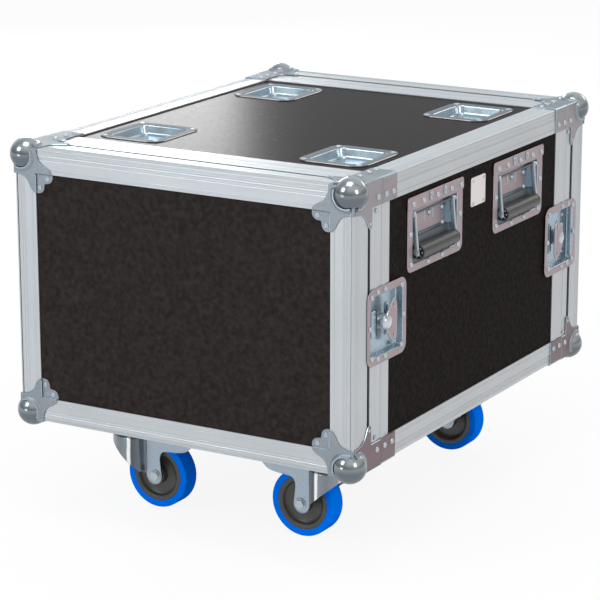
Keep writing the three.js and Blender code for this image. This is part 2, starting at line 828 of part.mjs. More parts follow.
const edge = longEdge();
for (const [level, up] of Object.entries(levels)) {
  for (const [side, sign] of Object.entries(sides)) {
    const mesh = piece(`${level}_${side}_edge`, 'aluminium', surface(edge, sign, 1, up));
    mesh.position.set(sign * halfWidth, 0, up > 0 ? caseHeight : 0);
    upper.add(mesh);
  }
}

for (const [end, { sign, lidDepth }] of Object.entries(ends)) {
  const atEnd = (name, finish, body) => {
    const mesh = piece(name, finish, surface(body, 1, -sign));
    mesh.position.set(0, sign * halfDepth, 0);
    upper.add(mesh);
  };
  atEnd(`${end}_body_rim`, 'aluminium', withLatchPockets(solid(bodyRim(lidDepth)), lidDepth));
  atEnd(`${end}_lid_shell`, 'laminate', withLatchPockets(lidShell(lidDepth), lidDepth));
  atEnd(`${end}_lid_edging`, 'aluminium', withLatchPockets(solid(lidEdging()), lidDepth));
  atEnd(`${end}_lid_rim`, 'aluminium', lidRimWithKeepers(lidDepth));

  const corner = ballCorner(lidDepth);
  const rail = rackRail();
  for (const [side, across] of Object.entries(sides)) {
    for (const [level, up] of Object.entries(levels)) {
      const name = `${end}_${level}_${side}_ball_corner`;
      const mesh = piece(name, 'zinc', surface(corner, across, -sign, up));
      mesh.position.set(across * halfWidth, sign * halfDepth, up > 0 ? caseHeight : 0);
      upper.add(mesh);
    }
    const railMesh = piece(`${end}_${side}_rack_rail`, 'rail_steel', surface(rail, across, -sign));
    railMesh.position.set(0, sign * halfDepth, 0);
    upper.add(railMesh);

    const latch = new THREE.Group();
    latch.position.set(across * halfWidth, sign * (halfDepth - lidDepth), 0);
    const dish = surface(latchHalf(true), across, -sign);
    const turning = piece(`${end}_${side}_latch_butterfly`, 'zinc', surface(butterfly(), across, -sign));
    turning.position.set(0, -sign * bossFromParting, latchCentreHeight);
    latch.add(piece(`${end}_${side}_latch_dish`, 'zinc', dish), turning);
    upper.add(latch);

    const handle = new THREE.Group();
    const along = sign < 0 ? frontHandleAlong : rearHandleAlong;
    handle.position.set(across * (halfWidth - plyFace), along, handleCentreHeight);
    handle.rotation.z = across > 0 ? 0 : Math.PI;
    const bail = piece(`${end}_${side}_handle_bail`, 'grip_rubber', surface(handleBail()));
    const hingeHeight = handleCupHeight / 2 - handleCupDrop - hingeRodInset;
    bail.position.set(plyFace - hingeRodDepth, 0, hingeHeight);
    handle.add(piece(`${end}_${side}_handle_dish`, 'zinc', handleDish()), bail);
    upper.add(handle);

    const dishMesh = piece(`${end}_${side}_castor_dish`, 'zinc', surface(castorDish()));
    dishMesh.position.set(across * swivelAcross, sign * dishAlong, underTop);
    upper.add(dishMesh);

    const castor = new THREE.Group();
    castor.position.set(across * swivelAcross, sign * swivelAlong, 0);
    castor.rotation.z = across > 0 ? Math.PI : 0;
    const wheel = piece(`${end}_${side}_castor_wheel`, 'wheel_blue', castorWheel());
    wheel.position.set(trail, 0, axleLevel);
    castor.add(
      piece(`${end}_${side}_castor_plate`, 'castor_steel', surface(castorPlate())),
      piece(`${end}_${side}_castor_fork`, 'castor_steel', surface(castorFork())),
      wheel,
    );
    upper.add(castor);
  }
}

export default rackCase;
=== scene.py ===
"""Looks of a rack flight case on castors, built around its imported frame.

Lengths are worked out in millimetres and put into the meshes in metres. X runs across the
front, Y from the front lid to the rear lid and Z up from the floor.
"""

import math

import bmesh
import bpy
import numpy as np
from mathutils import Matrix, Vector
from mathutils.geometry import tessellate_polygon


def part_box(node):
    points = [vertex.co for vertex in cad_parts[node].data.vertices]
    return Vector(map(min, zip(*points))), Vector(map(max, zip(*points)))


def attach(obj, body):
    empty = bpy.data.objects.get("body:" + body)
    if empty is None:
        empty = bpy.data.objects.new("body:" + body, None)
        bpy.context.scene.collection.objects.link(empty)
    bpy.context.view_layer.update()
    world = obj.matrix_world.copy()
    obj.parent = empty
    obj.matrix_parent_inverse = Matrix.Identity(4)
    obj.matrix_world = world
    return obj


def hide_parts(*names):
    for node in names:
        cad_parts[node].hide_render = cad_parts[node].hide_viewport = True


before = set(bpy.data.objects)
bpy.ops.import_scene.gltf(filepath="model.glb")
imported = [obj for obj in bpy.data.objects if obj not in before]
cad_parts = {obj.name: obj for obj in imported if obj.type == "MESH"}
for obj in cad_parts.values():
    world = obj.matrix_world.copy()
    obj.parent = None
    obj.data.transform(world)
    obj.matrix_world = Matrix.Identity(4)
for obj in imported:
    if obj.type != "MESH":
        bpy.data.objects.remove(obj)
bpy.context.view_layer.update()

MM = 0.001
BOTH = (-1.0, 1.0)
SIGN_Y = {"front": -1.0, "rear": 1.0}
SIGN_X = {"left": -1.0, "right": 1.0}
LEVELS = {"bottom": -1.0, "top": 1.0}


def limits(node, axis):
    """A node's lowest and highest place along one axis of the frame."""
    return [round(corner[axis] / MM, 2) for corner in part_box(node)]


def middle(node, axis):
    """Half way between a node's limits."""
    return round(sum(limits(node, axis)) / 2, 3)


# From the frame: the case over its aluminium, and the parting lines from the end faces
HALF_WIDTH = limits("front_lid_edging", 0)[1]
HALF_DEPTH = limits("rear_lid_edging", 1)[1]
BASE, TOP = limits("front_lid_edging", 2)
LID = {"front": HALF_DEPTH + limits("front_lid_rim", 1)[1],
       "rear": HALF_DEPTH - limits("rear_lid_rim", 1)[0]}
# From the frame: where latches, handles, dishes and castors sit. Latches' and handles'
# heights are over the base, and the wheel trails behind the castor's axis.
LATCH_Z = middle("front_right_latch_dish", 2) - BASE
HANDLE_Z = middle("front_right_handle_dish", 2) - BASE
HANDLE_Y = {end: middle(f"{end}_right_handle_dish", 1) for end in SIGN_Y}
DISH_Y = middle("rear_right_castor_dish", 1)
CASTOR_X = middle("rear_right_castor_plate", 0)
CASTOR_Y = middle("rear_right_castor_plate", 1)
TRAIL = CASTOR_X - middle("rear_right_castor_wheel", 0)
AXLE_Z = 49.4
# The extrusions' sheet and the radius of their arris
SKIN = 1.8
ARRIS = 3.2
# How far the panels lie under the aluminium, and the plates' two faces stand over it
PANEL_FACE = 2.1
PLATE_LOW = 0.3
PLATE_HIGH = 1.5
# The gap between the two halves of a parting line, and that of the plates beside it
LID_GAP = 0.3
SEAM = 0.06
# Where the long edges begin and the closing strips end, by distance from the end face
EDGE_FROM = 97.8
RIM_REACH = 97.5
RIM_SETBACK = 44.0
# The closing strips' inner leg, between two depths below the outer faces, and its length
RIM_INNER = 11.4
RIM_DEPTH = 13.2
RIM_INNER_LEG = 13.0
# How far the lid strip's web lies behind the parting line
GROOVE = 7.0
# Corner plates and braces: how wide they are on a side and on the top or bottom, and how
# far in their rivets and the balls' middles lie
SIDE_WIDTH = 35.3
TOP_WIDTH = 37.6
SIDE_RIVET = 24.0
TOP_RIVET = 26.0
BALL_IN = 11.5
# Half of the gap that the latches leave in the rims, and their floor's place
LATCH_OPENING = 43.4
LATCH_FLOOR = -9.4
# The turn in degrees past which an edge is drawn sharp
CREASE = 38.0
EXTRUSION_CREASE = 30.0
FORK_CREASE = 50.0


# Shapes
class Shape:
    """Points in millimetres, faces as lists of point numbers, and a finish number a face."""

    def __init__(self, points, faces, finish=0):
        self.points = np.asarray(points, float).reshape(-1, 3)
        self.faces = [list(f) for f in faces]
        count = len(self.faces)
        self.finish = [finish] * count if isinstance(finish, int) else list(finish)

    def moved(self, x=0.0, y=0.0, z=0.0):
        """The same faces, with three distances added to each point."""
        return Shape(self.points + np.array([x, y, z]), self.faces, self.finish)

    def mapped(self, function):
        """The same faces, with each point sent through a function of three columns."""
        x, y, z = self.points.T
        return Shape(np.stack(function(x, y, z), 1), self.faces, self.finish)

    def middles(self):
        """The mean of each face's points."""
        return np.array([self.points[face].mean(0) for face in self.faces])

    def __add__(self, other):
        """Both shapes as one, the other's point numbers moved on."""
        shift = len(self.points)
        faces = self.faces + [[i + shift for i in f] for f in other.faces]
        return Shape(np.vstack([self.points, other.points]), faces, self.finish + other.finish)


def quarter(steps):
    """Even steps of angle over a quarter turn, both ends counted."""
    return np.linspace(0, np.pi / 2, steps)


def turn(steps):
    """Even steps of angle once round, the first not repeated at the end."""
    return np.linspace(0, 2 * np.pi, steps, endpoint=False)


def bend(centre, radius, steps=6):
    """A quarter circle about (centre, centre): (centre - r sin t, centre - r cos t)."""
    t = quarter(steps)
    return np.stack([centre - radius * np.sin(t), centre - radius * np.cos(t)], 1)


def standing(section, y):
    """A section in X and Z, set at a place along Y."""
    x, z = np.asarray(section, float).T
    return np.stack([x, np.full(len(x), y), z], 1)


def together(shapes):
    """All the shapes as one, their points stacked and their faces renumbered."""
    shapes = list(shapes)
    starts = np.cumsum([0] + [len(s.points) for s in shapes])
    faces = [[i + int(start) for i in f] for s, start in zip(shapes, starts) for f in s.faces]
    finish = [m for s in shapes for m in s.finish]
    return Shape(np.vstack([s.points for s in shapes]), faces, finish)


def grid(points, close_rows=False, close_loop=True, caps=(True, True), finish=0):
    """Rows of points (rows, columns, 3) joined by four-sided faces. Each row is a loop if
    close_loop, the last row joins the first if close_rows, and caps fill the first and the
    last loop."""
    rows, columns = points.shape[:2]
    number = np.arange(rows * columns).reshape(rows, columns)
    if close_loop:
        number = np.hstack([number, number[:, :1]])
    if close_rows:
        number = np.vstack([number, number[:1]])
    quads = np.stack([number[:-1, :-1], number[:-1, 1:], number[1:, 1:], number[1:, :-1]], -1)
    faces = quads.reshape(-1, 4).tolist()
    if close_loop and not close_rows:
        if caps[0]:
            faces.append(number[0, :columns][::-1].tolist())
        if caps[1]:
            faces.append(number[-1, :columns].tolist())
    return Shape(points.reshape(-1, 3), faces, finish)


def lathe(profile, steps=32, finish=0):
    """A profile of (radius, height) pairs turned about Z: the point at angle t is
    (r cos t, r sin t, h). The profile's ends lie on the axis or are capped flat."""
    r, h = np.asarray(profile, float).T[..., None]
    t = turn(steps)
    return grid(np.stack([r * np.cos(t), r * np.sin(t), h + 0 * t], -1), finish=finish)


def ring(profile):
    """A closed profile of (radius, height) pairs turned about Z as lathe does, with a hole in
    the middle."""
    r, h = np.asarray(profile, float).T
    t = turn(96)[:, None]
    return grid(np.stack([r * np.cos(t), r * np.sin(t), h + 0 * t], -1), close_rows=True)


def rounded_loop(half_x, half_y, radius, steps=6, centre=(0.0, 0.0)):
    """A rectangle whose corners are quarter circles: each corner point is the centre of
    that corner's circle plus the radius along an angle that grows from corner to corner."""
    loop = []
    for k, (sx, sy) in enumerate(((1, 1), (-1, 1), (-1, -1), (1, -1))):
        a = quarter(steps) + k * np.pi / 2
        loop.append(np.stack([centre[0] + sx * (half_x - radius) + radius * np.cos(a),
                              centre[1] + sy * (half_y - radius) + radius * np.sin(a)], 1))
    return np.vstack(loop)


def loft(levels, steps=6, finish=0, caps=(True, True)):
    """Rounded rectangles stacked: each level is (half x, half y, corner radius, height,
    centre x, centre y), and neighbouring loops are joined point to point."""
    rows = []
    for half_x, half_y, radius, height, *centre in levels:
        loop = rounded_loop(half_x, half_y, radius, steps, centre or (0.0, 0.0))
        rows.append(np.column_stack([loop, np.full(len(loop), height)]))
    return grid(np.stack(rows), caps=caps, finish=finish)


def spline(points, steps=6):
    """A smooth line through the points: between two of them it is the cubic whose slope at
    each is half the way from the point before to the point after."""
    p = np.asarray(points, float)
    p = np.vstack([2 * p[:1] - p[1:2], p, 2 * p[-1:] - p[-2:-1]])
    t = np.linspace(0, 1, steps, endpoint=False)[None, :, None]
    a, b, c, d = (p[i:len(p) - 3 + i, None, :] for i in range(4))
    curve = 0.5 * (2 * b + (c - a) * t + (2 * a - 5 * b + 4 * c - d) * t ** 2
                   + (3 * b - a - 3 * c + d) * t ** 3)
    return np.vstack([curve.reshape(-1, p.shape[1]), p[-2:-1]])


def inset(loop, distance):
    """A closed outline moved inwards: each point goes along the mean of its two edges'
    inward normals, by the distance over the cosine of half the turn there."""
    loop = np.asarray(loop, float)
    area = np.sum(loop[:, 0] * np.roll(loop[:, 1], -1) - np.roll(loop[:, 0], -1) * loop[:, 1])
    edge = np.roll(loop, -1, 0) - loop
    edge /= np.maximum(np.linalg.norm(edge, axis=1, keepdims=True), 1e-9)
    normal = np.sign(area) * np.stack([-edge[:, 1], edge[:, 0]], 1)
    mean = normal + np.roll(normal, 1, 0)
    length = np.maximum(np.sum(mean * mean, 1, keepdims=True), 0.5)
    return loop + distance * 2 * mean / length


def plate(outline, low, high, bevel=0.35, holes=(), finish=0, rim=None):
    """A flat plate: an outline in X and Y between two heights, its upper edge bevelled by
    drawing the outline in, with holes through it. The bevel may have its own finish."""
    finishes = []
    loops = [np.asarray(outline, float)] + [np.asarray(h, float) for h in holes]
    upper = [inset(loops[0], bevel)] + [inset(h, -bevel) for h in loops[1:]]
    points, faces, starts = [], [], []
    for bottom, top in zip(loops, upper):
        n = len(bottom)
        start = sum(len(p) for p in points)
        starts.append((start, n))
        points.append(np.column_stack([bottom, np.full(n, low)]))
        points.append(np.column_stack([bottom, np.full(n, high - bevel)]))
        points.append(np.column_stack([top, np.full(n, high)]))
        i = np.arange(n)
        j = (i + 1) % n
        for row in (0, 1):
            a, b = start + row * n, start + (row + 1) * n
            faces += np.stack([a + i, a + j, b + j, b + i], 1).tolist()
            finishes += [finish if rim is None or row == 0 else rim] * n
    for row, heights in ((0, loops), (2, upper)):
        flat = [[Vector((x, y, 0)) for x, y in loop] for loop in heights]
        index = np.concatenate([np.arange(n) + start + row * n for start, n in starts])
        fill = [[int(index[i]) for i in t] for t in tessellate_polygon(flat)]
        faces += fill
        finishes += [finish] * len(fill)
    return Shape(np.vstack(points), faces, finishes)


def tube(path, radius, steps=12, finish=0, closed=False):
    """A round rod along a path: at each point a circle stands square to the direction,
    its first axis carried on from the point before."""
    path = np.asarray(path, float)
    radius = np.broadcast_to(np.asarray(radius, float), len(path))
    if closed:
        along = np.roll(path, -1, 0) - np.roll(path, 1, 0)
    else:
        along = np.gradient(path, axis=0)
    along /= np.linalg.norm(along, axis=1, keepdims=True)
    side = np.cross(along[0], [0.3, 0.2, 0.9])
    t = turn(steps)[:, None]
    rows = []
    for p, d, r in zip(path, along, radius):
        side = side - d * np.dot(side, d)
        side /= np.linalg.norm(side)
        rows.append(p + r * (np.cos(t) * side + np.sin(t) * np.cross(d, side)))
    return grid(np.stack(rows), close_rows=closed, finish=finish)


def dome(radius, height, steps=14, finish=0):
    """A rivet head: an upright rim, then a cap whose height falls as the cosine of the
    angle while its radius grows as the sine, on a short shank."""
    cap = [(radius * math.sin(a), height * math.cos(a)) for a in np.linspace(np.pi / 2, 0, 5)]
    return lathe([(radius * 0.6, -0.8), (radius, -0.2)] + cap, steps, finish)


def heads(places, level, radius=4.2, height=2.6, steps=14, finish=2):
    """A rivet head at each place, all standing at one level."""
    return [dome(radius, height, steps, finish).moved(x, y, level) for x, y in places]


def block(x, y, z, bevel=0.25, finish=0):
    """A box between pairs of limits with all its edges chamfered."""
    half_x, half_y = (x[1] - x[0]) / 2, (y[1] - y[0]) / 2
    centre = ((x[0] + x[1]) / 2, (y[0] + y[1]) / 2)
    cut = 0.6 * bevel
    levels = [(half_x - bevel, half_y - bevel, cut, z[0], *centre),
              (half_x, half_y, bevel, z[0] + bevel, *centre),
              (half_x, half_y, bevel, z[1] - bevel, *centre),
              (half_x - bevel, half_y - bevel, cut, z[1], *centre)]
    return loft(levels, 3, finish)


# Placing
def at_side(end, side):
    """Sends (distance from the end face, height, out of the side) to the frame."""
    def place(a, h, w):
        return (SIGN_X[side] * (HALF_WIDTH + w), SIGN_Y[end] * (HALF_DEPTH - a), h)
    return place


def at_corner(end, side, level):
    """Sends distances inwards from the side, the end and the top or bottom to the frame."""
    up = LEVELS[level]
    face = TOP if up > 0 else BASE
    def place(p, a, q):
        return (SIGN_X[side] * (HALF_WIDTH - p), SIGN_Y[end] * (HALF_DEPTH - a),
                face - up * q)
    return place


def put(name, shape, materials, body, stands_for=(), slot=None, crease=CREASE,
        uv=None, sheet=None):
    """Makes a piece of a shape: doubled points merged, faces turned outwards, edges sharper
    than the angle kept sharp, materials by finish number, carried by a body of the frame. A
    bent sheet is thickened inwards."""
    mesh = bpy.data.meshes.new(name)
    mesh.from_pydata((shape.points * MM).tolist(), [], shape.faces)
    mesh.polygons.foreach_set("material_index", shape.finish)
    if uv is not None:
        layer = mesh.uv_layers.new(name="along")
        loops = np.zeros(len(mesh.loops), np.int32)
        mesh.loops.foreach_get("vertex_index", loops)
        layer.data.foreach_set("uv", np.asarray(uv, float)[loops].ravel())
    work = bmesh.new()
    work.from_mesh(mesh)
    bmesh.ops.remove_doubles(work, verts=work.verts, dist=1e-6)
    bmesh.ops.dissolve_degenerate(work, dist=1e-7, edges=work.edges)
    bmesh.ops.recalc_face_normals(work, faces=work.faces)
    work.to_mesh(mesh)
    work.free()
    mesh.polygons.foreach_set("use_smooth", [True] * len(mesh.polygons))
    mesh.set_sharp_from_angle(angle=math.radians(crease))
    for material in materials:
        mesh.materials.append(material)
    piece = bpy.data.objects.new(name, mesh)
    bpy.context.scene.collection.objects.link(piece)
    if sheet:
        wall = piece.modifiers.new("sheet", "SOLIDIFY")
        wall.thickness = sheet * MM
        wall.offset = -1.0
    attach(piece, body)
    if stands_for:
        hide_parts(*stands_for)


# Materials
def operator(kind, swapped=False):
    """An operator of Socket, which adds a Math node of this kind."""
    def apply(self, other):
        pair = (other, self) if swapped else (self, other)
        return self.owner.node("ShaderNodeMath", {"operation": kind}, dict(enumerate(pair)))[0]
    return apply


class Socket:
    """A value in a node tree. Sums, differences and products of it add Math nodes."""

    def __init__(self, owner, socket):
        self.owner = owner
        self.socket = socket

    __add__, __radd__ = operator("ADD"), operator("ADD", True)
    __sub__, __rsub__ = operator("SUBTRACT"), operator("SUBTRACT", True)
    __mul__, __rmul__ = operator("MULTIPLY"), operator("MULTIPLY", True)


class Tree:
    """Adds nodes to a node tree."""

    def __init__(self, tree):
        self.tree = tree

    def join(self, target, value):
        """Links a node's socket to another, or sets its value. A colour gets full alpha."""
        if isinstance(value, Socket):
            self.tree.links.new(value.socket, target)
        elif isinstance(value, tuple) and len(value) == 3 and target.type == "RGBA":
            target.default_value = (*value, 1.0)
        else:
            target.default_value = value

    def node(self, kind, settings=None, inputs=None):
        """Adds a node: its settings first, with a ramp's stops as (place, screen colour), then
        its sockets' values or links. Returns its outputs."""
        made = self.tree.nodes.new(kind)
        for name, value in (settings or {}).items():
            if name != "stops":
                setattr(made, name, value)
                continue
            marks = made.color_ramp.elements
            while len(marks) < len(value):
                marks.new(0.5)
            for mark, (place, colour) in zip(marks, value):
                mark.position = place
                mark.color = (*srgb(*colour), 1.0)
        for name, value in (inputs or {}).items():
            self.join(made.inputs[name], value)
        return [Socket(self, out) for out in made.outputs]

    def noise(self, scale, detail, roughness, vector):
        """Fractal noise, its scale in lumps to a metre where the vector is in metres."""
        return self.node("ShaderNodeTexNoise", None, {
            "Vector": vector, "Scale": scale, "Detail": detail, "Roughness": roughness})[0]

    def range(self, value, low, high, to_low=0.0, to_high=1.0):
        """A value's range sent to another range, and held there outside it."""
        return self.node("ShaderNodeMapRange", {"clamp": True}, {
            "Value": value, "From Min": low, "From Max": high,
            "To Min": to_low, "To Max": to_high})[0]

    def blend(self, factor, first, second):
        """Two colours mixed by a factor."""
        return self.node("ShaderNodeMix", {"data_type": "RGBA"},
                         {0: factor, 6: first, 7: second})[2]


class Finish(Tree):
    """A material with one Principled shader and the nodes that feed it."""

    def __init__(self, name, **values):
        self.material = bpy.data.materials.new(name)
        self.material.use_nodes = True
        super().__init__(self.material.node_tree)
        self.shader = self.tree.nodes["Principled BSDF"]
        self.set(**values)

    def set(self, **values):
        """Sets or links sockets of the shader, their names' spaces written as _."""
        for name, value in values.items():
            self.join(self.shader.inputs[name.replace("_", " ")], value)

    def place(self, scale=(1.0, 1.0, 1.0), source="Object"):
        """Coordinates in metres on the object, or its own UV map, stretched by a scale."""
        if source == "UV":
            found = self.node("ShaderNodeUVMap", {"uv_map": "along"})[0]
        else:
            found = self.node("ShaderNodeTexCoord")[3]
        return self.node("ShaderNodeMapping", None, {"Vector": found, "Scale": scale})[0]

    def noise(self, scale, detail=4.0, roughness=0.5, vector=None):
        """As Tree's noise, in the object's own metres if no vector is given."""
        return super().noise(scale, detail, roughness, vector or self.place())

    def bump(self, height, strength, distance):
        """Tilts the surface by the slope of a height, its full range the distance in metres."""
        self.set(Normal=self.node("ShaderNodeBump", None, {
            "Height": height, "Strength": strength, "Distance": distance})[0])

    def dress(self, shade, dark, light, wear, smooth, rough, relief, depth, grain=None):
        """The colour goes from dark to light with the shade, the roughness with the wear, and
        the grain, or else the wear, stands up as a bump. Gives the finished material."""
        self.set(Base_Color=self.blend(shade, dark, light),
                 Roughness=self.range(wear, 0.3, 0.7, smooth, rough))
        self.bump(grain or wear, relief, depth)
        return self.material


def srgb(red, green, blue):
    """A colour from its eight-bit screen values, as the shader's linear numbers: each share
    of 255 is divided by 12.92 near black, and otherwise moved a little and raised to 2.4."""
    def linear(value):
        value /= 255.0
        return value / 12.92 if value <= 0.04045 else ((value + 0.055) / 1.055) ** 2.4
    return (linear(red), linear(green), linear(blue))


def shaded(tone, share):
    """A colour times a share, held at white."""
    return tuple(min(1.0, c * share) for c in tone)


def aluminium(name, tone, metallic=0.8):
    """Extruded aluminium: fine drawn lines along its length over broader ones and clouds."""
    f = Finish(name, Metallic=metallic)
    lines = f.noise(1.0, 2.0, 0.5, f.place((700.0, 0.1, 1.0), "UV"))
    broad = f.noise(1.0, 1.0, 0.5, f.place((200.0, 0.05, 1.0), "UV"))
    shade = f.range(lines * 0.35 + broad * 0.3 + f.noise(9.0, 3.0) * 0.35, 0.36, 0.64)
    return f.dress(shade, shaded(tone, 0.92), shaded(tone, 1.05), lines, 0.38, 0.46, 0.004, 0.0004)


def zinc(name, tone, grain=0.5, roughness=0.42, metallic=0.75, scale=900.0, swing=0.22,
         relief=0.1):
    """Zinc plating, its colour a sum of fine crystals and soft clouds. The grain is the
    crystals' share, the scale their number to a metre, the swing how far the colour goes to
    dark and light, and the relief the crystals' bump."""
    f = Finish(name, Metallic=metallic)
    crystals = f.noise(scale, 2.0, 0.7)
    clouds = f.noise(40.0, 3.0)
    shade = f.range(crystals * grain + clouds * (1.0 - grain), 0.36, 0.64)
    return f.dress(shade, shaded(tone, 1.0 - swing), shaded(tone, 1.0 + swing * 0.8), clouds,
                   roughness - 0.05, roughness + 0.06, relief, 0.0003, crystals)


def ball_painted_reflection(name, dark, light):
    """Polished zinc, its reflection painted: lighter above the middle of each ball, darker below.
    """
    f = Finish(name, Metallic=1.0)
    height = f.node("ShaderNodeSeparateXYZ", None, {"Vector": f.place()})[2]
    under, over, half_way = -3.5, 9.5, 0.3
    # Painted reflection: each ball's colour is dark below its middle and light above it
    top, bottom = (f.range(height, (centre + under) * MM, (centre + over) * MM)
                   for centre in (TOP - BALL_IN, BASE + BALL_IN))
    shade = top + bottom * f.range(height, half_way, half_way + 0.01, 1.0, 0.0)
    f.set(Base_Color=f.blend(shade, dark, light),
          Roughness=f.range(f.noise(60.0, 3.0), 0.3, 0.7, 0.16, 0.22))
    return f.material


def laminate(name, dark, light, specular, roughness=0.5, relief=0.06):
    """Plywood with a dark resin face: its colour follows a mottle and a fine pebbled grain."""
    f = Finish(name, Metallic=0.0, IOR=1.5, Specular_IOR_Level=specular)
    mottle = f.noise(130.0, 4.0, 0.6)
    grain = f.noise(700.0, 2.0)
    shade = f.range(mottle * 0.8 + grain * 0.2, 0.36, 0.66)
    return f.dress(shade, dark, light, mottle, roughness - 0.02, roughness + 0.03, relief, 0.0003,
                   grain)


ALUMINIUM = aluminium("drawn_aluminium", srgb(190, 194, 198))
SAWN_EDGE = aluminium("aluminium_edge", srgb(176, 178, 182), 0.1)
# The side and top panels take darker copies of the front lid's laminate, painted shade
BLACK_PLY = laminate("black_laminate", srgb(35, 31, 31), srgb(54, 48, 47), 0.02)
SIDE_PLY_PAINTED_SHADE = laminate("side_laminate_painted_shade", srgb(20, 17, 17), srgb(38, 34, 33), 0.01)
TOP_PLY_PAINTED_SHADE = laminate("top_laminate_painted_shade", srgb(29, 22, 22), srgb(36, 28, 28), 0.008, 0.25, 0.0)
BOARD_PLY = laminate("castor_board_stain", srgb(24, 22, 22), srgb(42, 38, 36), 0.05)
ZINC_FRONT = zinc("zinc_spangle", srgb(143, 151, 159), 0.75)
ZINC_SIDE = zinc("zinc_satin", srgb(149, 145, 149), 0.35, 0.4, 0.7, 900.0, 0.1)
# Painted shade: a darker copy of the side plates' zinc for the corners at the bottom
ZINC_LOW_PAINTED_SHADE = zinc("zinc_low_painted_shade", srgb(122, 106, 110), 0.35, 0.42, 0.7, 900.0, 0.1)
ZINC_ROSE = zinc("zinc_rose", srgb(162, 148, 153), 0.35, 0.4, 0.7, 900.0, 0.1)
ZINC_TOP = zinc("zinc_top", srgb(132, 141, 146), 0.6, 0.6, 0.45)
ZINC_BRIGHT = zinc("zinc_bright", srgb(150, 174, 190), 0.15, 0.22, 0.95, 300.0, 0.08)
# Blue zinc for the latch and handle cups, also painted highlights on corner plates' and braces'
# edges
BLUE_ZINC_AND_PAINTED_HIGHLIGHT = zinc("zinc_blue_and_painted_highlight", srgb(162, 181, 194), 0.2, 0.24, 0.78, 260.0, 0.07, 0.03)
ZINC_DISH = zinc("zinc_dish", srgb(180, 196, 206), 0.15, 0.2, 0.9, 260.0, 0.07, 0.03)
ZINC_BARREL = zinc("zinc_barrel", srgb(196, 204, 210), 0.15, 0.24, 0.6, 260.0, 0.05, 0.0)
ZINC_FLANGE = zinc("zinc_flange", srgb(100, 108, 114), 0.5, 0.62, 0.35)
ZINC_RIVET = zinc("rivet_zinc", srgb(180, 189, 196), 0.2, 0.34, 0.8, 120.0, 0.04, 0.0)
# Painted highlight: near-white zinc for the stacking dishes' outer edge
ZINC_EDGE_PAINTED_HIGHLIGHT = zinc("zinc_edge_painted_highlight", srgb(232, 228, 232), 0.2, 0.45, 0.25)
ZINC_TEAL = zinc("zinc_teal", srgb(108, 130, 146), 0.2, 0.26, 0.85, 260.0, 0.15, 0.03)
# Slate zinc for the handles' hinge rods, also painted shade under the grips and the top corner
# plates' step
SLATE_ZINC_AND_PAINTED_SHADE = zinc("zinc_slate_and_painted_shade", srgb(92, 102, 109), 0.2, 0.34, 0.6, 260.0, 0.08, 0.03)
BALL = ball_painted_reflection("ball_painted_reflection", srgb(108, 117, 123), srgb(158, 166, 170))
CASTOR_ZINC = zinc("castor_zinc", srgb(126, 133, 141), 0.3, 0.2, 0.92, 420.0, 0.1, 0.12)


def fork_painted_streaks():
    """A castor fork's plating: textured on the flat legs, with painted reflections as light and
    dark streaks in its colour where the sheet bends round to the nose, along its own UV map."""
    f = Finish("castor_fork_zinc", Metallic=0.9)
    along = f.node("ShaderNodeSeparateXYZ", None, {"Vector": f.place(source="UV")})[0]
    crystals = f.noise(420.0, 2.0, 0.7)
    place = along + (f.noise(40.0, 3.0) - 0.5) * 0.02
    # Painted reflection: white glints and dark bands in the colour along the bend
    teal, white, dark = (78, 92, 100), (248, 251, 253), (88, 94, 100)
    middle, leg = (146, 154, 162), (166, 180, 193)
    tone = f.node("ShaderNodeValToRGB", {"stops": (
        (0.03, teal), (0.05, white), (0.075, white), (0.095, middle), (0.2, (128, 136, 143)),
        (0.29, (140, 148, 156)), (0.3, white), (0.325, white), (0.34, dark),
        (0.44, (116, 124, 131)), (0.452, (100, 107, 114)), (0.462, leg))}, {0: place})[0]
    f.set(Base_Color=f.blend(f.range(crystals, 0.35, 0.65, 0.86, 1.0), (0.0, 0.0, 0.0), tone),
          Roughness=f.range(place, 0.44, 0.47, 0.22, 0.36))
    f.bump(crystals, 0.12, 0.0003)
    return f.material


FORK_ZINC_PAINTED_STREAKS = fork_painted_streaks()


def plain(name, colour, roughness, scale, depth, specular=0.4, swing=0.15):
    """Rubber, plastic or paint: a fine grain in colour, roughness and surface."""
    f = Finish(name, Metallic=0.0, Specular_IOR_Level=specular,
               IOR=1.5 if specular > 0.02 else 1.1)
    grain = f.noise(scale, 3.0, 0.55)
    return f.dress(f.range(grain, 0.35, 0.65), shaded(colour, 1 - swing), shaded(colour, 1 + swing),
                   grain, roughness - 0.06, roughness + 0.06, 0.15, depth)


TYRE = plain("blue_elastic_tyre", srgb(0, 122, 255), 0.6, 500.0, 0.0003, 0.01, 0.04)
HUB = plain("wheel_centre_plastic", srgb(60, 58, 56), 0.36, 400.0, 0.0003, 0.6)
GRIP = plain("handle_rubber", srgb(54, 56, 55), 0.38, 900.0, 0.0001, 0.5, 0.05)
CAP_BLACK = plain("grip_end_cap", srgb(22, 24, 26), 0.35, 900.0, 0.0002)
RAIL_BLACK = plain("rail_powder_coat", srgb(40, 41, 44), 0.5, 1200.0, 0.0002, 0.5)
SHADOW_GAP = plain("dark_recess", srgb(24, 25, 28), 0.7, 300.0, 0.0002, 0.2)
PLATE_PAINT = plain("number_plate", srgb(214, 211, 210), 0.5, 700.0, 0.0002, 0.3, 0.03)


# Extrusions
def bead(place, centre, width, height):
    """A half-round rib: height times the cosine squared of the distance from its centre."""
    x = np.clip((place - centre) / width, -0.5, 0.5)
    return height * np.cos(np.pi * x) ** 2


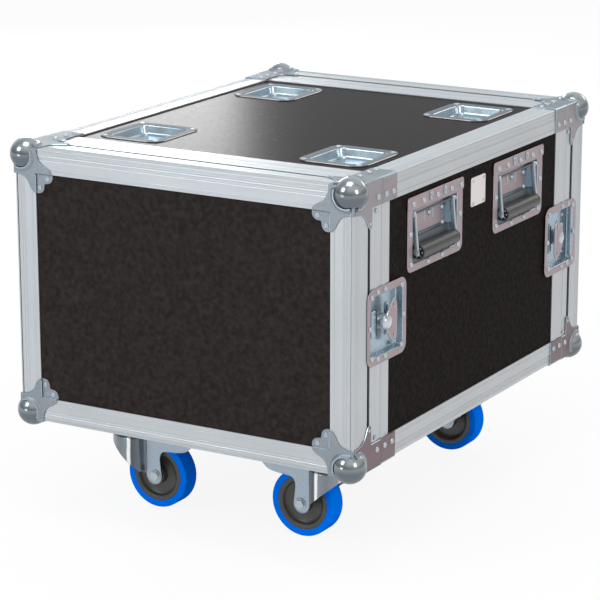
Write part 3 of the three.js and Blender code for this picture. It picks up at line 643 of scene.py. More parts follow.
def edge_relief(s):
    """Depth of an angle's face at a distance from its rounded arris: a grooved border with
    four ribs, a smooth band hollowed as half a sine wave, and a fine line near the panel."""
    start, stop, ramp = 0.6, 15.6, 0.8
    rise, fall = np.clip((s - start) / ramp, 0, 1), np.clip((s - stop) / ramp, 0, 1)
    border = 0.55 * (1 - fall) * rise
    ribs = sum(bead(s, c, 1.9, 0.5) for c in (2.6, 7.4, 10.4, 14.2))
    line = bead(s, 28.6, 1.4, 0.35) - bead(s, 29.8, 1.0, 0.2)
    wide = 0.18 * np.sin(np.pi * np.clip((s - stop - 0.9) / 12.0, 0, 1))
    return border - ribs * (border > 0) + line + wide


def rim_relief(s):
    """Depth of a closing strip at a distance from the end face: broad soft flutes, the depth
    a mean less a cosine wave."""
    mean, swing, first, wave = 0.4, 0.34, RIM_SETBACK + 18.0, 22.0
    return mean - swing * np.cos(2 * np.pi * (s - first) / wave)


def face_line(start, end, step=0.45, relief=edge_relief):
    """Points across a face as (place, depth), the depth from a relief function."""
    s = np.linspace(start, end, int(abs(end - start) / step) + 1)
    return np.stack([s, relief(s)], 1)


def walked(section):
    """The distance along a section from its first point to each of its points."""
    return np.concatenate([[0], np.cumsum(np.hypot(*np.diff(section, axis=0).T))])


def ring_extrusion(section, end, latch_leg=None, dark=()):
    """A section carried round the case's outline with mitred corners. Its points are (depth
    below the outer faces, distance from the end face): at each corner both outer distances
    shrink by the depth. With latch_leg, the inner leg's limits along the case, the two upright
    lengths stop at the latch's opening, and only that leg runs on through it. The section's
    faces numbered in dark take the second finish on the two uprights, the dark recess colour as
    painted shade. Gives the shape and a map of (across, along) in metres."""
    depth, along = np.asarray(section, float).T
    walk = walked(section)
    centre, half = (BASE + TOP) / 2, (TOP - BASE) / 2
    low, high = BASE + LATCH_Z - LATCH_OPENING, BASE + LATCH_Z + LATCH_OPENING
    corners = ((1, 1), (-1, 1), (-1, -1), (1, -1))
    shapes, maps, apart = [], [], 50.0

    def length(first, last, caps):
        """One straight run from a first to a last outline of the section. Each run's map is
        moved on, so that no two runs show the same lines."""
        rows = [np.stack([x, SIGN_Y[end] * (HALF_DEPTH - along), z], 1) for x, z in (first, last)]
        shapes.append(grid(np.stack(rows), caps=caps))
        if first[0][0] == last[0][0]:
            # Painted shade: on the uprights the listed faces take the dark recess colour
            for k in dark:
                shapes[-1].finish[k] = 1
        across = walk + apart * len(shapes)
        maps.extend([np.stack([across, x + z], 1) for x, z in (first, last)])

    for k in range(4):
        (ax, az), (bx, bz) = corners[k], corners[(k + 1) % 4]
        first = (ax * (HALF_WIDTH - depth), centre + az * (half - depth))
        last = (bx * (HALF_WIDTH - depth), centre + bz * (half - depth))
        if latch_leg is None or ax != bx:
            length(first, last, (False, False))
            continue
        near, far = (high, low) if az > 0 else (low, high)
        length(first, (first[0], 0 * depth + near), (False, True))
        length((first[0], 0 * depth + far), last, (True, False))
        strip = block((RIM_INNER, RIM_DEPTH), latch_leg, (low, high), 0.1)
        shapes.append(strip.mapped(lambda d, a, z: (
            ax * (HALF_WIDTH - d), SIGN_Y[end] * (HALF_DEPTH - a), z)))
        maps.append(shapes[-1].points[:, [0, 2]])
    return together(shapes), np.vstack(maps) * MM


def edging_section():
    """The lid's angle: its face across the end, the groove beside the arris, the arris, then
    its face along the side. Gives the section and the numbers of the groove's faces, which
    take painted shade."""
    end_face = face_line(35.0, ARRIS + 1.3)
    groove = [(ARRIS + 1.1, 0.7), (ARRIS + 0.5, 0.7), (ARRIS + 0.4, 0.0)]
    side_face = face_line(ARRIS + 0.6, 37.2)[:, ::-1]
    inner = [(SKIN, 37.2), (SKIN, SKIN), (35.0, SKIN)]
    first = len(end_face) - 1
    return (np.vstack([end_face, groove, bend(ARRIS, ARRIS, 7), side_face, inner]),
            range(first, first + 3))


def lid_rim_section(lid):
    """The lid's closing strip: a fluted outer leg, a web, and an inner leg."""
    web = lid - GROOVE
    outer = face_line(RIM_SETBACK + 0.6, lid - 0.12, 0.8, rim_relief)[:, ::-1]
    back = [(SKIN + 0.6, lid), (SKIN + 0.6, web), (RIM_INNER, web), (RIM_INNER, lid),
            (RIM_DEPTH, lid), (RIM_DEPTH, web - RIM_INNER_LEG),
            (RIM_INNER, web - RIM_INNER_LEG), (RIM_INNER, web - SKIN),
            (SKIN + 0.4, web - SKIN), (SKIN + 0.2, RIM_SETBACK + 0.6)]
    return np.vstack([outer, back])


def body_rim_section(lid):
    """The body's closing strip: a fluted leg over the ply, a web with a tongue, a leg."""
    face = lid + LID_GAP
    web = face + SKIN
    low, high = 4.6, 8.6
    outer = face_line(RIM_REACH, face + 0.12, 0.8, rim_relief)[:, ::-1]
    back = [(low, face), (low, face - 6.0), (high, face - 6.0), (high, face),
            (RIM_DEPTH, face), (RIM_DEPTH, face + RIM_INNER_LEG),
            (RIM_INNER, face + RIM_INNER_LEG), (RIM_INNER, web), (SKIN + 0.3, web),
            (SKIN + 0.2, RIM_REACH)]
    return np.vstack([outer, back])


def long_edge(side, level):
    """A body edge: the section, as distances in from the side and from the top, is carried
    straight from rim to rim."""
    section = np.vstack([face_line(37.5, ARRIS + 0.6), bend(ARRIS, ARRIS, 7),
                         face_line(ARRIS + 0.6, 35.3)[:, ::-1],
                         [(SKIN, 35.3), (SKIN, SKIN), (37.5, SKIN)]])
    ends = (-HALF_DEPTH + EDGE_FROM, HALF_DEPTH - EDGE_FROM)
    up = LEVELS[level]
    face = TOP if up > 0 else BASE
    shape = grid(np.stack([standing(section, y) for y in ends])).mapped(lambda p, y, q: (
        SIGN_X[side] * (HALF_WIDTH - p), y, face - up * q))
    # The section's last face is the leg's end, over the top or bottom panel
    shape.finish[len(section) - 1] = 1
    walk = walked(section)
    return shape, np.vstack([np.stack([walk, 0 * walk + y], 1) for y in ends]) * MM


# Ball corners
def ear_outline():
    """End plate: half of its edge is a smooth line from the case's edge round one lobe to
    the notch, and the other half is the same with its two distances exchanged."""
    low = spline([(38.0, -1.2), (38.1, 5.0), (39.2, 11.0), (42.0, 17.0), (47.6, 22.6),
                  (54.5, 26.0), (60.4, 30.2), (63.0, 35.4)], 5)
    lobe = spline([(63.0, 35.4), (63.4, 40.0), (61.4, 45.2), (57.0, 48.3), (52.6, 49.0),
                   (49.6, 49.6)], 5)
    return low, lobe


def eyelet(radius=3.4):
    """A rivet seen from its set side: a rounded ring round a small raised middle."""
    return lathe([(radius * 0.6, -0.8), (radius, -0.3), (radius, 0.5), (radius * 0.82, 1.0),
                  (radius * 0.6, 1.0), (radius * 0.42, 0.35), (radius * 0.25, 0.8), (0, 1.0)], 18,
                 2)


def ball_corner(end, side, level):
    """The plates on the end, the side and the top or bottom, the fold between the last two,
    and the ball with the flares that hold it. A flare is a profile of (radius, height) turned
    a little over a quarter round the ball's middle."""
    lid = LID[end]
    low, lobe = ear_outline()
    corner = np.array([[35.4, 35.4]])
    main = np.vstack([[(1.2, -1.2)], low, corner, low[::-1, ::-1], [(-1.2, 1.2)]])
    ears = np.vstack([corner, lobe, lobe[::-1, ::-1][1:]])

    # Each sends (two distances along a face, out of it) to the corner's three distances
    def on_end(p, q, w):
        return (p, -w, q)

    def on_side(a, t, w):
        return (-w, a, t)

    def on_top(a, t, w):
        return (t, a, -w)

    # Painted light along the step: the tube on its upright edge is a light blue highlight, and the
    # strip on its level edge is dark slate shade at the top corners, a light blue highlight at the
    # bottom ones
    parts = [plate(main, PLATE_LOW, PLATE_HIGH, 0.6), plate(ears, -1.75, -0.65, 0.45),
             tube([(35.7, 61.0, 0.8), (35.7, 37.0, 1.0)], 1.0, 8, 4),
             block((36.4, 60.6), (35.1, 36.3), (-0.7, 0.6), 0.2, 5 if level == "top" else 4)]
    parts += [eyelet().moved(p, q, -0.65) for p, q in ((54.8, 41.6), (41.6, 54.8))]
    parts = [part.mapped(on_end) for part in parts]
    # Side and top plates, with a tongue beside the closing strip; their bevelled rim is a
    # painted highlight in light blue zinc
    reach = lid - SEAM
    tongue = spline([(47.2, 56.0), (46.6, 61.0), (43.4, 63.6), (39.6, 62.2), (36.4, 58.2),
                     (32.6, 52.0), (27.4, 45.4), (20.0, 41.0), (11.0, 39.2), (3.0, 38.6)], 4)
    for width, place, finish, line in ((SIDE_WIDTH, on_side, 1, SIDE_RIVET),
                                       (TOP_WIDTH, on_top, 6, TOP_RIVET)):
        outline = np.vstack([[(3.0, -1.4), (reach, -1.4), (reach, width), (47.6, width),
                              (47.4, 45.0)], tongue])
        parts += [part.mapped(place) for part in (
            plate(outline, PLATE_LOW, PLATE_HIGH, 0.75, finish=finish, rim=4),
            dome(4.2, 2.6, finish=2).moved(63.0 if end == "front" else 51.0, line, PLATE_HIGH),
            dome(2.6, 1.2, finish=2).moved(41.6, 56.0, PLATE_HIGH),
            eyelet(3.3).moved(min(59.7, lid - 6.0), 41.4, 0.5))]
    # The fold along the long edge, round from the top plate to the side plate, in light blue
    # zinc as a painted highlight
    section = np.vstack([bend(1.2, 2.7), bend(2.4, 1.6)[::-1]])
    parts.append(grid(np.stack([standing(section, y) for y in (3.0, reach)]), finish=4))
    size, sink = 22.9, BALL_IN
    r, h = np.array([(17.6, 1.2), (17.0, 4.1), (18.4, 4.5), (20.6, 3.7), (22.3, 2.3),
                     (23.0, 1.2)]).T
    angle = np.radians(np.linspace(-24, 114, 30))[:, None]
    flare = grid(np.stack([sink + r * np.cos(angle), sink + r * np.sin(angle), h + 0 * angle],
                          -1))
    # The lip of each flare is a painted highlight in light blue zinc
    flare.finish = [4 if flare.points[face, 2].min() > 4.0 else 0 for face in flare.faces]
    parts += [flare.mapped(place) for place in (on_end, on_side, on_top)]
    arc = [(size * math.cos(a), size * math.sin(a)) for a in np.linspace(-1.48, 1.48, 25)]
    ball = lathe([(0, -size), *arc, (0, size)], 56, 3)
    parts.append(ball.moved(sink, sink + 0.8, sink))
    return together(parts).mapped(at_corner(end, side, level))


def brace(end, side, level):
    """The L plate over the end of a long edge: a bent section carried from the parting line
    and drawn in at its far end, with two rivets on each leg. Its bend and far end are bright,
    a painted highlight in light blue zinc."""
    start, stop, chamfer = LID[end] + SEAM, LID[end] + 40.0, 0.5
    section = np.vstack([[(TOP_WIDTH, -0.9), (TOP_WIDTH - chamfer, -PLATE_HIGH)],
                         bend(1.2, 2.7), [(-PLATE_HIGH, SIDE_WIDTH - chamfer),
                                          (-0.9, SIDE_WIDTH), (-PLATE_LOW, SIDE_WIDTH)],
                         bend(1.2, 1.5)[::-1], [(TOP_WIDTH, -PLATE_LOW)]])
    body = grid(np.stack([standing(section, start), standing(section, stop - chamfer),
                          standing(section + 0.45 * (section < 0), stop)]))
    x, y, z = body.middles().T
    # Painted highlight: the bend and the far end take the light blue zinc
    bright = ((x < 1.3) & (z < 1.3)) | (y > stop - 0.4)
    body.finish = np.where(bright, 3, np.where(x < 0.2, 1, 0)).tolist()
    parts = [body]
    head = dome(4.2, 2.6, finish=2)
    for a in (LID[end] + 9.9, LID[end] + 30.1):
        parts += [head.mapped(lambda x, y, z: (-(z + PLATE_HIGH), x + a, y + SIDE_RIVET)),
                  head.mapped(lambda x, y, z: (x + TOP_RIVET, y + a + 3.0,
                                               -(z + PLATE_HIGH)))]
    return together(parts).mapped(at_corner(end, side, level))


# Dishes
def pan(flange, mouth, floor, depth, low, sheet=1.2, steps=8, lip=0.5, fold=2.0, toe=2.5,
        floor_finish=1):
    """A pressed dish as one closed skin. From the flange's outer edge the upper side runs in
    level, folds down in a quarter circle to the mouth, falls straight towards the floor's
    outline and turns into the floor in another quarter circle. The under side is the same
    line kept the sheet's thickness away. The flange is (half x, half y, corner radius); the
    mouth and the floor have the place of their centre after these."""
    fx, fy, fr = flange
    top = low + sheet
    base = top - depth

    def loop(outline, grow, height):
        """An outline set at a height and grown by a distance all round."""
        half_x, half_y, radius, x, y = outline
        return (half_x + grow, half_y + grow, max(radius + grow, 0.8), height, x, y)

    upper = [(fx - lip, fy - lip, fr - lip, low, 0, 0), (fx, fy, fr, low + lip, 0, 0),
             (fx, fy, fr, top - lip, 0, 0), (fx - lip, fy - lip, fr - lip, top, 0, 0)]
    upper += [loop(mouth, fold * (1 - math.sin(a)), top - fold * (1 - math.cos(a)))
              for a in quarter(6)]
    upper += [loop(floor, -toe * (1 - math.cos(a)), base + toe * (1 - math.sin(a)))
              for a in quarter(6)]
    under = [upper[0], loop(mouth, sheet + fold * 0.4, low), loop(mouth, sheet, low - fold),
             loop(floor, sheet, base + toe), loop(floor, sheet - toe, base - sheet)]
    shape = (loft(upper, steps, caps=(False, True)) + loft(under, steps, caps=(False, True)))
    lowest = np.array([shape.points[f, 2].min() for f in shape.faces])
    highest = np.array([shape.points[f, 2].max() for f in shape.faces])
    shape.finish = np.where(lowest > top - lip - 0.05, 0,
                            np.where(highest < base + 0.01, floor_finish, 1)).tolist()
    return shape


def cut_at(shape, place, keep_above):
    """The part of a closed shape on one side of a plane square to X, its cut filled."""
    work = bmesh.new()
    verts = [work.verts.new(p) for p in shape.points]
    for face, finish in zip(shape.faces, shape.finish):
        work.faces.new([verts[i] for i in face]).material_index = finish
    bmesh.ops.remove_doubles(work, verts=work.verts, dist=1e-4)
    cut = bmesh.ops.bisect_plane(work, geom=work.verts[:] + work.edges[:] + work.faces[:],
                                 plane_co=(place, 0.0, 0.0),
                                 plane_no=(-1.0 if keep_above else 1.0, 0.0, 0.0),
                                 clear_outer=True)
    edges = [e for e in cut["geom_cut"] if isinstance(e, bmesh.types.BMEdge)]
    bmesh.ops.triangle_fill(work, edges=edges, use_beauty=True)
    work.verts.index_update()
    points = [tuple(v.co) for v in work.verts]
    faces = [[v.index for v in f.verts] for f in work.faces]
    finish = [f.material_index for f in work.faces]
    work.free()
    return Shape(points, faces, finish)


# Rivets as (distance from the parting line, up from the latch's middle)
LATCH_RIVETS = [(8.9, 47.0), (55.3, 42.8), (60.0, 1.0), (55.0, -40.3), (9.4, -45.3)]
LATCH_RIVETS_LID = [(-11.5, 47.2), (-28.0, 42.6), (-32.0, 0.6), (-27.6, -41.2), (-11.0, -45.0)]
# The butterfly's axis from the parting line
BARREL_FROM = 15.7


def latch_dish(end, side, on_body):
    """One half of a latch dish with its rivets, and what stands on its floor: a slotted strip
    beside the wing on the body, a raised strip and two studs on the lid, and on both a dark
    slot along the parting. The dark plates in the slots are painted shade."""
    def strip(size, x, low, high, bevel, holes=(), finish=3):
        """A plate with rounded corners, its heights over the dish's floor."""
        return plate(rounded_loop(*size, (x, 0.0)), LATCH_FLOOR + low, LATCH_FLOOR + high, bevel,
                     holes, finish)

    whole = pan((54.35, 53.0, 14.0), (44.75, 41.5, 5.5, 0, 0), (43.2, 40.0, 5.0, 0, 0), 10.9,
                PLATE_LOW).moved(14.35)
    parts = [cut_at(whole, LID_GAP / 2 if on_body else 0.0, on_body)]
    parts += heads(LATCH_RIVETS if on_body else LATCH_RIVETS_LID, PLATE_HIGH, 4.0)
    if on_body:
        slot = rounded_loop(1.5, 19.5, 1.3, 4, (30.6, 0.0))
        parts += [strip((3.6, 22.5, 1.5, 4), 31.2, -0.4, 1.8, 0.5, [slot], 1),
                  strip((1.4, 19.4, 1.2, 4), 30.6, -0.2, 1.0, 0.1),
                  strip((1.4, 17.2, 0.5, 3), 1.7, -0.2, 0.9, 0.1)]
    else:
        parts += [strip((5.4, 18.3, 1.5, 4), -7.2, -0.4, 2.8, 0.9, finish=1),
                  strip((0.8, 17.2, 0.5, 3), -0.9, -0.2, 0.9, 0.1)]
        parts += heads(((-14.0, -29.0), (-14.0, 29.0)), LATCH_FLOOR, 3.2, 1.6, finish=1)
    return together(parts).moved(LID[end], BASE + LATCH_Z).mapped(at_side(end, side))


def butterfly(end, side):
    """The turning piece: a barrel that stands on the cup's floor, its end domed as a quarter
    ellipse, and a half-moon wing with two oval holes. The wing's edge is a smooth line
    through points on one half, and their mirror images."""
    nose = [(11.2 * math.cos(a), -1.2 + 7.4 * math.sin(a)) for a in quarter(9)]
    barrel = lathe([(0.0, -9.2), (10.8, -9.2), (11.2, -8.6)] + nose, 56, 1)
    edge = spline([(23.2, 0.0), (23.2, 15.0), (22.2, 22.5), (19.0, 28.2), (14.6, 30.4),
                   (9.8, 28.4), (3.6, 22.0), (-2.6, 15.4), (-6.4, 8.6), (-7.0, 0.0)], 6)
    outline = np.vstack([edge, (edge[1:-1] * (1.0, -1.0))[::-1]])
    holes = [rounded_loop(1.7, 2.9, 1.65, 5, (14.0, v)) for v in (-20.7, 20.7)]
    shape = barrel + plate(outline, 1.85, 3.8, 0.5, holes, rim=1)
    return shape.moved(LID[end] + BARREL_FROM, BASE + LATCH_Z).mapped(at_side(end, side))


# Handles
def at_handle(end, side):
    """Sends (along the case, up from the dish's centre, out of the side) to the frame. It is
    mirrored from side to side."""
    def place(u, v, w):
        return (SIGN_X[side] * (HALF_WIDTH + w), u + HANDLE_Y[end], v + BASE + HANDLE_Z)
    return place


def handle_dish(end, side):
    """A recessed handle's dish: its lower wall slopes out under the grip. A riveted strip
    with two pressed loops covers the hinge, and a hollow quarter of a circle, narrowest at
    half height, leads from the back to each end wall."""
    low, sheet, depth = -PANEL_FACE + PLATE_LOW, 1.2, 13.0
    pressed = pan((81.5, 51.75, 11.0), (66.0, 36.5, 4.0, 0, -4.0), (64.5, 20.0, 5.0, 0, 11.0),
                  depth, low, sheet, toe=4.0, floor_finish=0)
    face = low + sheet
    top, floor = face + sheet, face - depth
    x, y, z = pressed.middles().T
    # Painted shade: the lower wall under the grip takes the dark slate zinc
    pressed.finish = np.where((y < -5.0) & (z < face - 2.4), 4, pressed.finish).tolist()
    half = [(-79.5, 53.0), (-82.5, 50.0), (-83.0, 38.0), (-80.0, 35.4), (-69.0, 35.0),
            (-67.5, 34.3)]
    strip = half + [(-u, v) for u, v in reversed(half)]
    parts = [pressed, plate(strip, face - 0.1, top, 0.5)]
    parts += heads([(u, 42.5) for u in (-66.8, -37.5, 3.5, 45.1, 74.5)], top, 4.3, 2.8)
    t = turn(20)
    for u in (-17.0, 24.5):
        loop = np.stack([u + 2.6 * np.cos(t), 45.4 + 5.4 * np.sin(t), top + 0.7 + 0 * t], 1)
        parts.append(tube(loop, 1.25, 8, 2, closed=True))
    parts += heads([(-73.2, 1.5), (74.0, 1.5), (-71.0, -40.5), (-21.5, -45.5), (20.5, -44.8),
                    (68.5, -41.5)], face, 4.2, 2.7)
    parts += heads([(-37.8, 16.5), (3.5, 16.5), (42.0, 16.5), (44.0, -6.0)], floor, 4.6, 3.2)
    for u in (-10.5, 15.7):
        parts.append(plate(rounded_loop(1.1, 9.0, 1.0, 4, (u, 15.0)), floor - 0.2, floor + 0.5,
                           0.2, finish=1))
    foot, head, wall, under, rise = -9.0, 30.0, 65.2, floor - 0.1, 10.5
    v = np.linspace(foot, head, 12)
    wide = 25.0 - 7.0 * np.sin(np.pi * (v - foot) / (head - foot))
    a = quarter(8)
    for s in BOTH:
        rows = [np.stack([s * np.append(wall - w * (1 - np.sin(a)), wall), np.full(9, h),
                          np.append(under + rise * (1 - np.cos(a)), under)], 1)
                for h, w in zip(v, wide)]
        parts.append(grid(np.stack(rows), finish=3))
    return together(parts).mapped(at_handle(end, side))


def handle_bail(end, side):
    """Hinge rod with its two springs, two tapering arms and a rubber grip with end caps. A
    spring is a helix: the point at share t is at the angle 8 pi t round the rod. An arm is
    flattened across the case, and its plane leans outwards about the rod."""
    # The grip under the hinge and out from it, the hinge over the dish's middle and inside
    # the case's face, and by distance from the middle the rod's end, an arm and the grip's end
    drop, out, hinge_up, hinge_in = 53.0, 5.7, 26.5, 5.0
    rod, arm_at, grip_end = 65.4, 56.6, 52.4
    lean = math.atan2(out, drop)
    c, sn = math.cos(lean), math.sin(lean)
    arm = tube([(0, 4.6, 0), (0, 3.8, 0), (0, 0, 0), (0, -28.0, 0), (0, -50.0, 0),
                (0, -56.6, 0), (0, -58.2, 0)], [2.2, 3.6, 4.4, 3.5, 3.7, 4.0, 2.4], 16, 3)
    stud = lathe([(0, -0.3), (4.6, -0.3), (4.6, 0.9), (3.4, 1.5), (0, 1.7)], 20, 3)
    cap = [lathe([(0, 0), (9.2, 0), (9.8, 0.5), (9.8, 2.0), (9.0, 2.6), (7.0, 2.2), (0, 2.2)],
                 40, 2)]
    cap += heads([(6.6 * math.cos(a), 6.6 * math.sin(a)) for a in turn(7)], 2.3, 1.1, 0.7, 8, 3)
    t = np.linspace(0, 1, 60)
    parts = [tube([(-rod, 0, 0), (rod, 0, 0)], 1.7, 16, 4)]
    for s in BOTH:
        coil = np.stack([s * (59.4 + 4.6 * t), 3.7 * np.sin(8 * np.pi * t),
                         3.7 * np.cos(8 * np.pi * t)], 1)
        parts += [arm.mapped(lambda a, b, t: (s * arm_at + a * 0.42, b * c + t * sn,
                                              -b * sn + t * c)),
                  stud.mapped(lambda x, y, z: (s * (arm_at + 1.2 + z), y - drop, x + out)),
                  tube(coil, 0.55, 6, 3)]
        parts += [p.mapped(lambda x, y, z: (s * (grip_end - 0.2 + z), y - drop, x + out))
                  for p in cap]
    radius, t = 9.9, turn(64)
    half = [(grip_end, radius - 2.0), (grip_end, radius - 0.5), (grip_end - 0.6, radius)]
    rows = [np.stack([np.full(64, u), r * np.cos(t) - drop, r * np.sin(t) + out], 1)
            for u, r in [(-u, r) for u, r in half] + half[::-1]]
    parts.append(grid(np.stack(rows)))
    return together(parts).moved(0, hinge_up, -hinge_in).mapped(at_handle(end, side))


# Castor dishes
def castor_dish(end, side):
    """A plain drawn cup with a wide flange, its edge a near-white painted highlight, and a flat
    rivet at each of its corners."""
    half_x, half_y, low, sheet = 52.5, 58.5, -PANEL_FACE + 0.06, 1.25
    drawn = pan((half_x, half_y, 19.0), (38.0, 44.0, 9.0, 0, 0), (35.5, 41.5, 8.0, 0, 0), 13.6,
                low, sheet, 10, 0.5, 2.2, 3.5)
    # Painted highlight: the band round the flange's outer edge takes the near-white zinc
    rim = [max(np.abs(drawn.points[face, 0]).mean() - half_x,
               np.abs(drawn.points[face, 1]).mean() - half_y) for face in drawn.faces]
    drawn.finish = np.where(np.array(rim) > -0.31, 3, drawn.finish).tolist()
    parts = [drawn] + heads([(x, y) for x in (-43.0, 43.0) for y in (-48.5, 48.5)],
                            low + sheet, 4.2, 1.3, 18)
    return together(parts).moved(SIGN_X[side] * CASTOR_X, SIGN_Y[end] * DISH_Y, TOP)


# Castors
FORK_SHEET = 2.5


def on_axle(x, y, z):
    """Lays a piece turned about Z on the wheel's axle, in the castor's own distances."""
    return (x + TRAIL, z, y + AXLE_Z)


def at_castor(end, side):
    """Sends (trailing towards the case's middle, along it, height) to the frame."""
    def place(x, y, z):
        return (SIGN_X[side] * (CASTOR_X - x), SIGN_Y[end] * CASTOR_Y + y, z)
    return place


def castor_plate(end, side):
    """The top plate with four slots and the heads of their screws, the race's cup turned
    under it, and the six-sided nut under the king pin."""
    nut, high = limits("rear_right_castor_plate", 2)
    low = high - 3.0
    screws = [(x, y) for x in (-40.0, 40.0) for y in (-30.0, 30.0)]
    slots = [rounded_loop(5.6, 4.4, 4.3, 5, place) for place in screws]
    parts = [plate(rounded_loop(52.5, 42.5, 6.0, 6), low, high, 0.4, slots),
             lathe([(0, low + 1), (31.5, low + 1), (32.0, low - 0.5), (31.0, low - 4.5),
                    (28.5, low - 7.2), (26.0, low - 7.9), (0, low - 7.9)], 48),
             lathe([(9.5, nut), (9.5, nut + 3.9), (5.4, nut + 4.0), (5.4, low)], 6, 1)]
    head = lathe([(0, low + 0.4), (6.4, low + 0.4), (6.4, low - 1.2), (4.6, low - 3.2),
                  (0, low - 3.8)], 16, 1)
    parts += [head.moved(x, y) for x, y in screws]
    return together(parts).mapped(at_castor(end, side))


def fork_shell():
    """The fork as one bent sheet, with its map. Along u it goes round the plan, from one tail
    past the leg and round the nose to the other tail. Along v it rises from the lower edge,
    which the side outline gives, to the shoulder, rounds over in a quarter circle and runs
    level to the middle line."""
    half, crown, shoulder = 20.5, 37.5, BASE - 38.0
    neck, ease = 20.0, 6.0
    # Along the sheet's lower edge, and where each place's column ends on the shoulder
    edge = spline([
        (-crown, -42.5, -crown), (-30.0, -48.5, -31.0), (-16.0, -60.2, -18.5),
        (0.0, -73.6, -4.0), (12.0, -83.7, 7.5), (22.0, -92.1, 16.5), (26.4, -97.2, 21.0),
        (28.6, -103.0, 24.5), (33.0, -108.2, 29.0), (39.5, -110.4, 34.5), (46.0, -108.4, 38.0),
        (50.4, -104.0, 40.0), (52.2, -97.5, 42.0), (51.0, -88.0, 44.0), (49.9, -78.0, 45.7),
        (49.4, -70.0, 47.6), (51.2, -63.0, 51.5), (56.0, -58.8, 58.0), (64.0, -57.4, 66.0),
        (76.0, -56.4, 77.5), (88.0, -54.6, 88.8), (96.0, -51.4, 96.5), (101.5, -46.8, 101.6),
        (104.5, -44.4, 104.5)], 6)
    x_low, z_low, x_top = edge.T

    def plan(x):
        """Half the width: the round crown's, drawn in to the channel's behind the nose."""
        crown_part = np.sqrt(np.maximum(crown ** 2 - x ** 2, 0.0))
        share = np.clip((x - neck) / ease, 0.0, 1.0)
        share = share * share * (3.0 - 2.0 * share)
        return crown_part * (1 - share) + half * share

    rows = []
    radius = 4.5
    for k in np.linspace(0, 1, 14):
        x = x_low + (x_top - x_low) * k
        z = BASE + z_low + (shoulder - radius - BASE - z_low) * k
        rows.append(np.stack([x, plan(x), z], 1))
    for a in quarter(6)[1:]:
        shrink = radius * (1 - math.cos(a))
        y = np.maximum(plan(x_top) - shrink, 0.0)
        rows.append(np.stack([x_top + shrink * 0.6 * (x_top < -20), y,
                              np.full(len(y), shoulder - radius + radius * math.sin(a))], 1))
    rows += [rows[-1] * (1.0, k, 1.0) for k in (0.66, 0.33, 0.0)]
    near = grid(np.stack(rows), close_loop=False, caps=False)
    shell = near + near.mapped(lambda x, y, z: (x, -y, z))
    uv = np.stack([(shell.points[:, 0] + crown) / (x_low[-1] + crown),
                   (BASE - shell.points[:, 2]) / 110.0], 1)
    return shell, uv


def castor_fork(end, side):
    """The bent shell with its map, and as a second shape the axle bolt turned across it, a
    round washer and a six-sided head on each leg, and the disc under the race."""
    shell, uv = fork_shell()
    low = BASE - 38.6
    washer = lathe([(0, 0), (9.0, 0), (9.0, 1.2), (8.6, 1.6), (0, 1.6)], 32)
    hexagon = lathe([(0, 1.0), (7.6, 1.0), (7.6, 3.6), (6.8, 4.2), (0, 4.2)], 6)
    axle = lathe([(0, -20.0), (5.9, -20.0), (5.9, 20.0), (0, 20.0)], 24)
    # Half the width over the legs, where the washers lie
    half = 20.3
    parts = [part.mapped(lambda x, y, z: on_axle(x, y, s * (z + half)))
             for s in BOTH for part in (washer, hexagon)]
    parts += [axle.mapped(on_axle),
              lathe([(0, low), (31.0, low), (33.5, low + 1.6), (33.0, low + 6.4),
                     (31.0, low + 8.0), (0, low + 8.0)], 48)]
    place = at_castor(end, side)
    return shell.mapped(place), uv, together(parts).mapped(place)


def castor_wheel(end, side):
    """Tyre and centre, turned about the axle from half a profile and its mirror image. The
    tyre's shoulders are quarter circles; the centre has a rim, a dished web and a hub."""
    radius, wide, curve = 49.3, 14.5, 1.8
    tyre = [(radius - curve * (1 - math.cos(a)), wide - curve * (1 - math.sin(a)))
            for a in quarter(7)]
    tyre += [(41.0, wide), (39.6, wide - 0.1), (39.4, wide - 0.9)]
    centre = [(39.4, 13.7), (39.2, 14.3), (38.4, 14.5), (33.6, 14.3), (32.6, 13.6),
              (31.4, 10.4), (29.6, 8.6), (26.0, 7.6), (18.0, 7.2), (14.2, 8.0), (13.0, 10.4),
              (12.4, 16.6), (11.6, 17.3), (6.3, 17.3)]
    return [ring(half + [(r, -y) for r, y in reversed(half)]).mapped(on_axle).mapped(
        at_castor(end, side)) for half in (tyre, centre)]


# Rack rails
def rack_rail(end, side):
    """An angle with a row of square holes in its face, three to a rack unit."""
    unit, pitch, gauge, hole = 44.45, 15.875, 2.0, 9.5
    inner, outer = limits("rear_right_rack_rail", 0)
    back, front = limits("rear_right_rack_rail", 1)
    low, high = limits("rear_right_rack_rail", 2)
    first = low + (unit - 2 * pitch) / 2
    holes = [rounded_loop(hole / 2, hole / 2, 0.4, 2, (232.55, first + k * unit + row * pitch))
             for k in range(round((high - low) / unit)) for row in range(3)]
    face = plate([(inner, low), (outer, low), (outer, high), (inner, high)], -gauge, 0.0, 0.2,
                 holes)
    leg = block((outer - gauge, outer), (back - front, -1.0), (low, high), 0.2)
    rail = face.mapped(lambda x, z, w: (x, w, z)) + leg
    return rail.mapped(lambda x, y, z: (SIGN_X[side] * x, SIGN_Y[end] * (front + y), z))


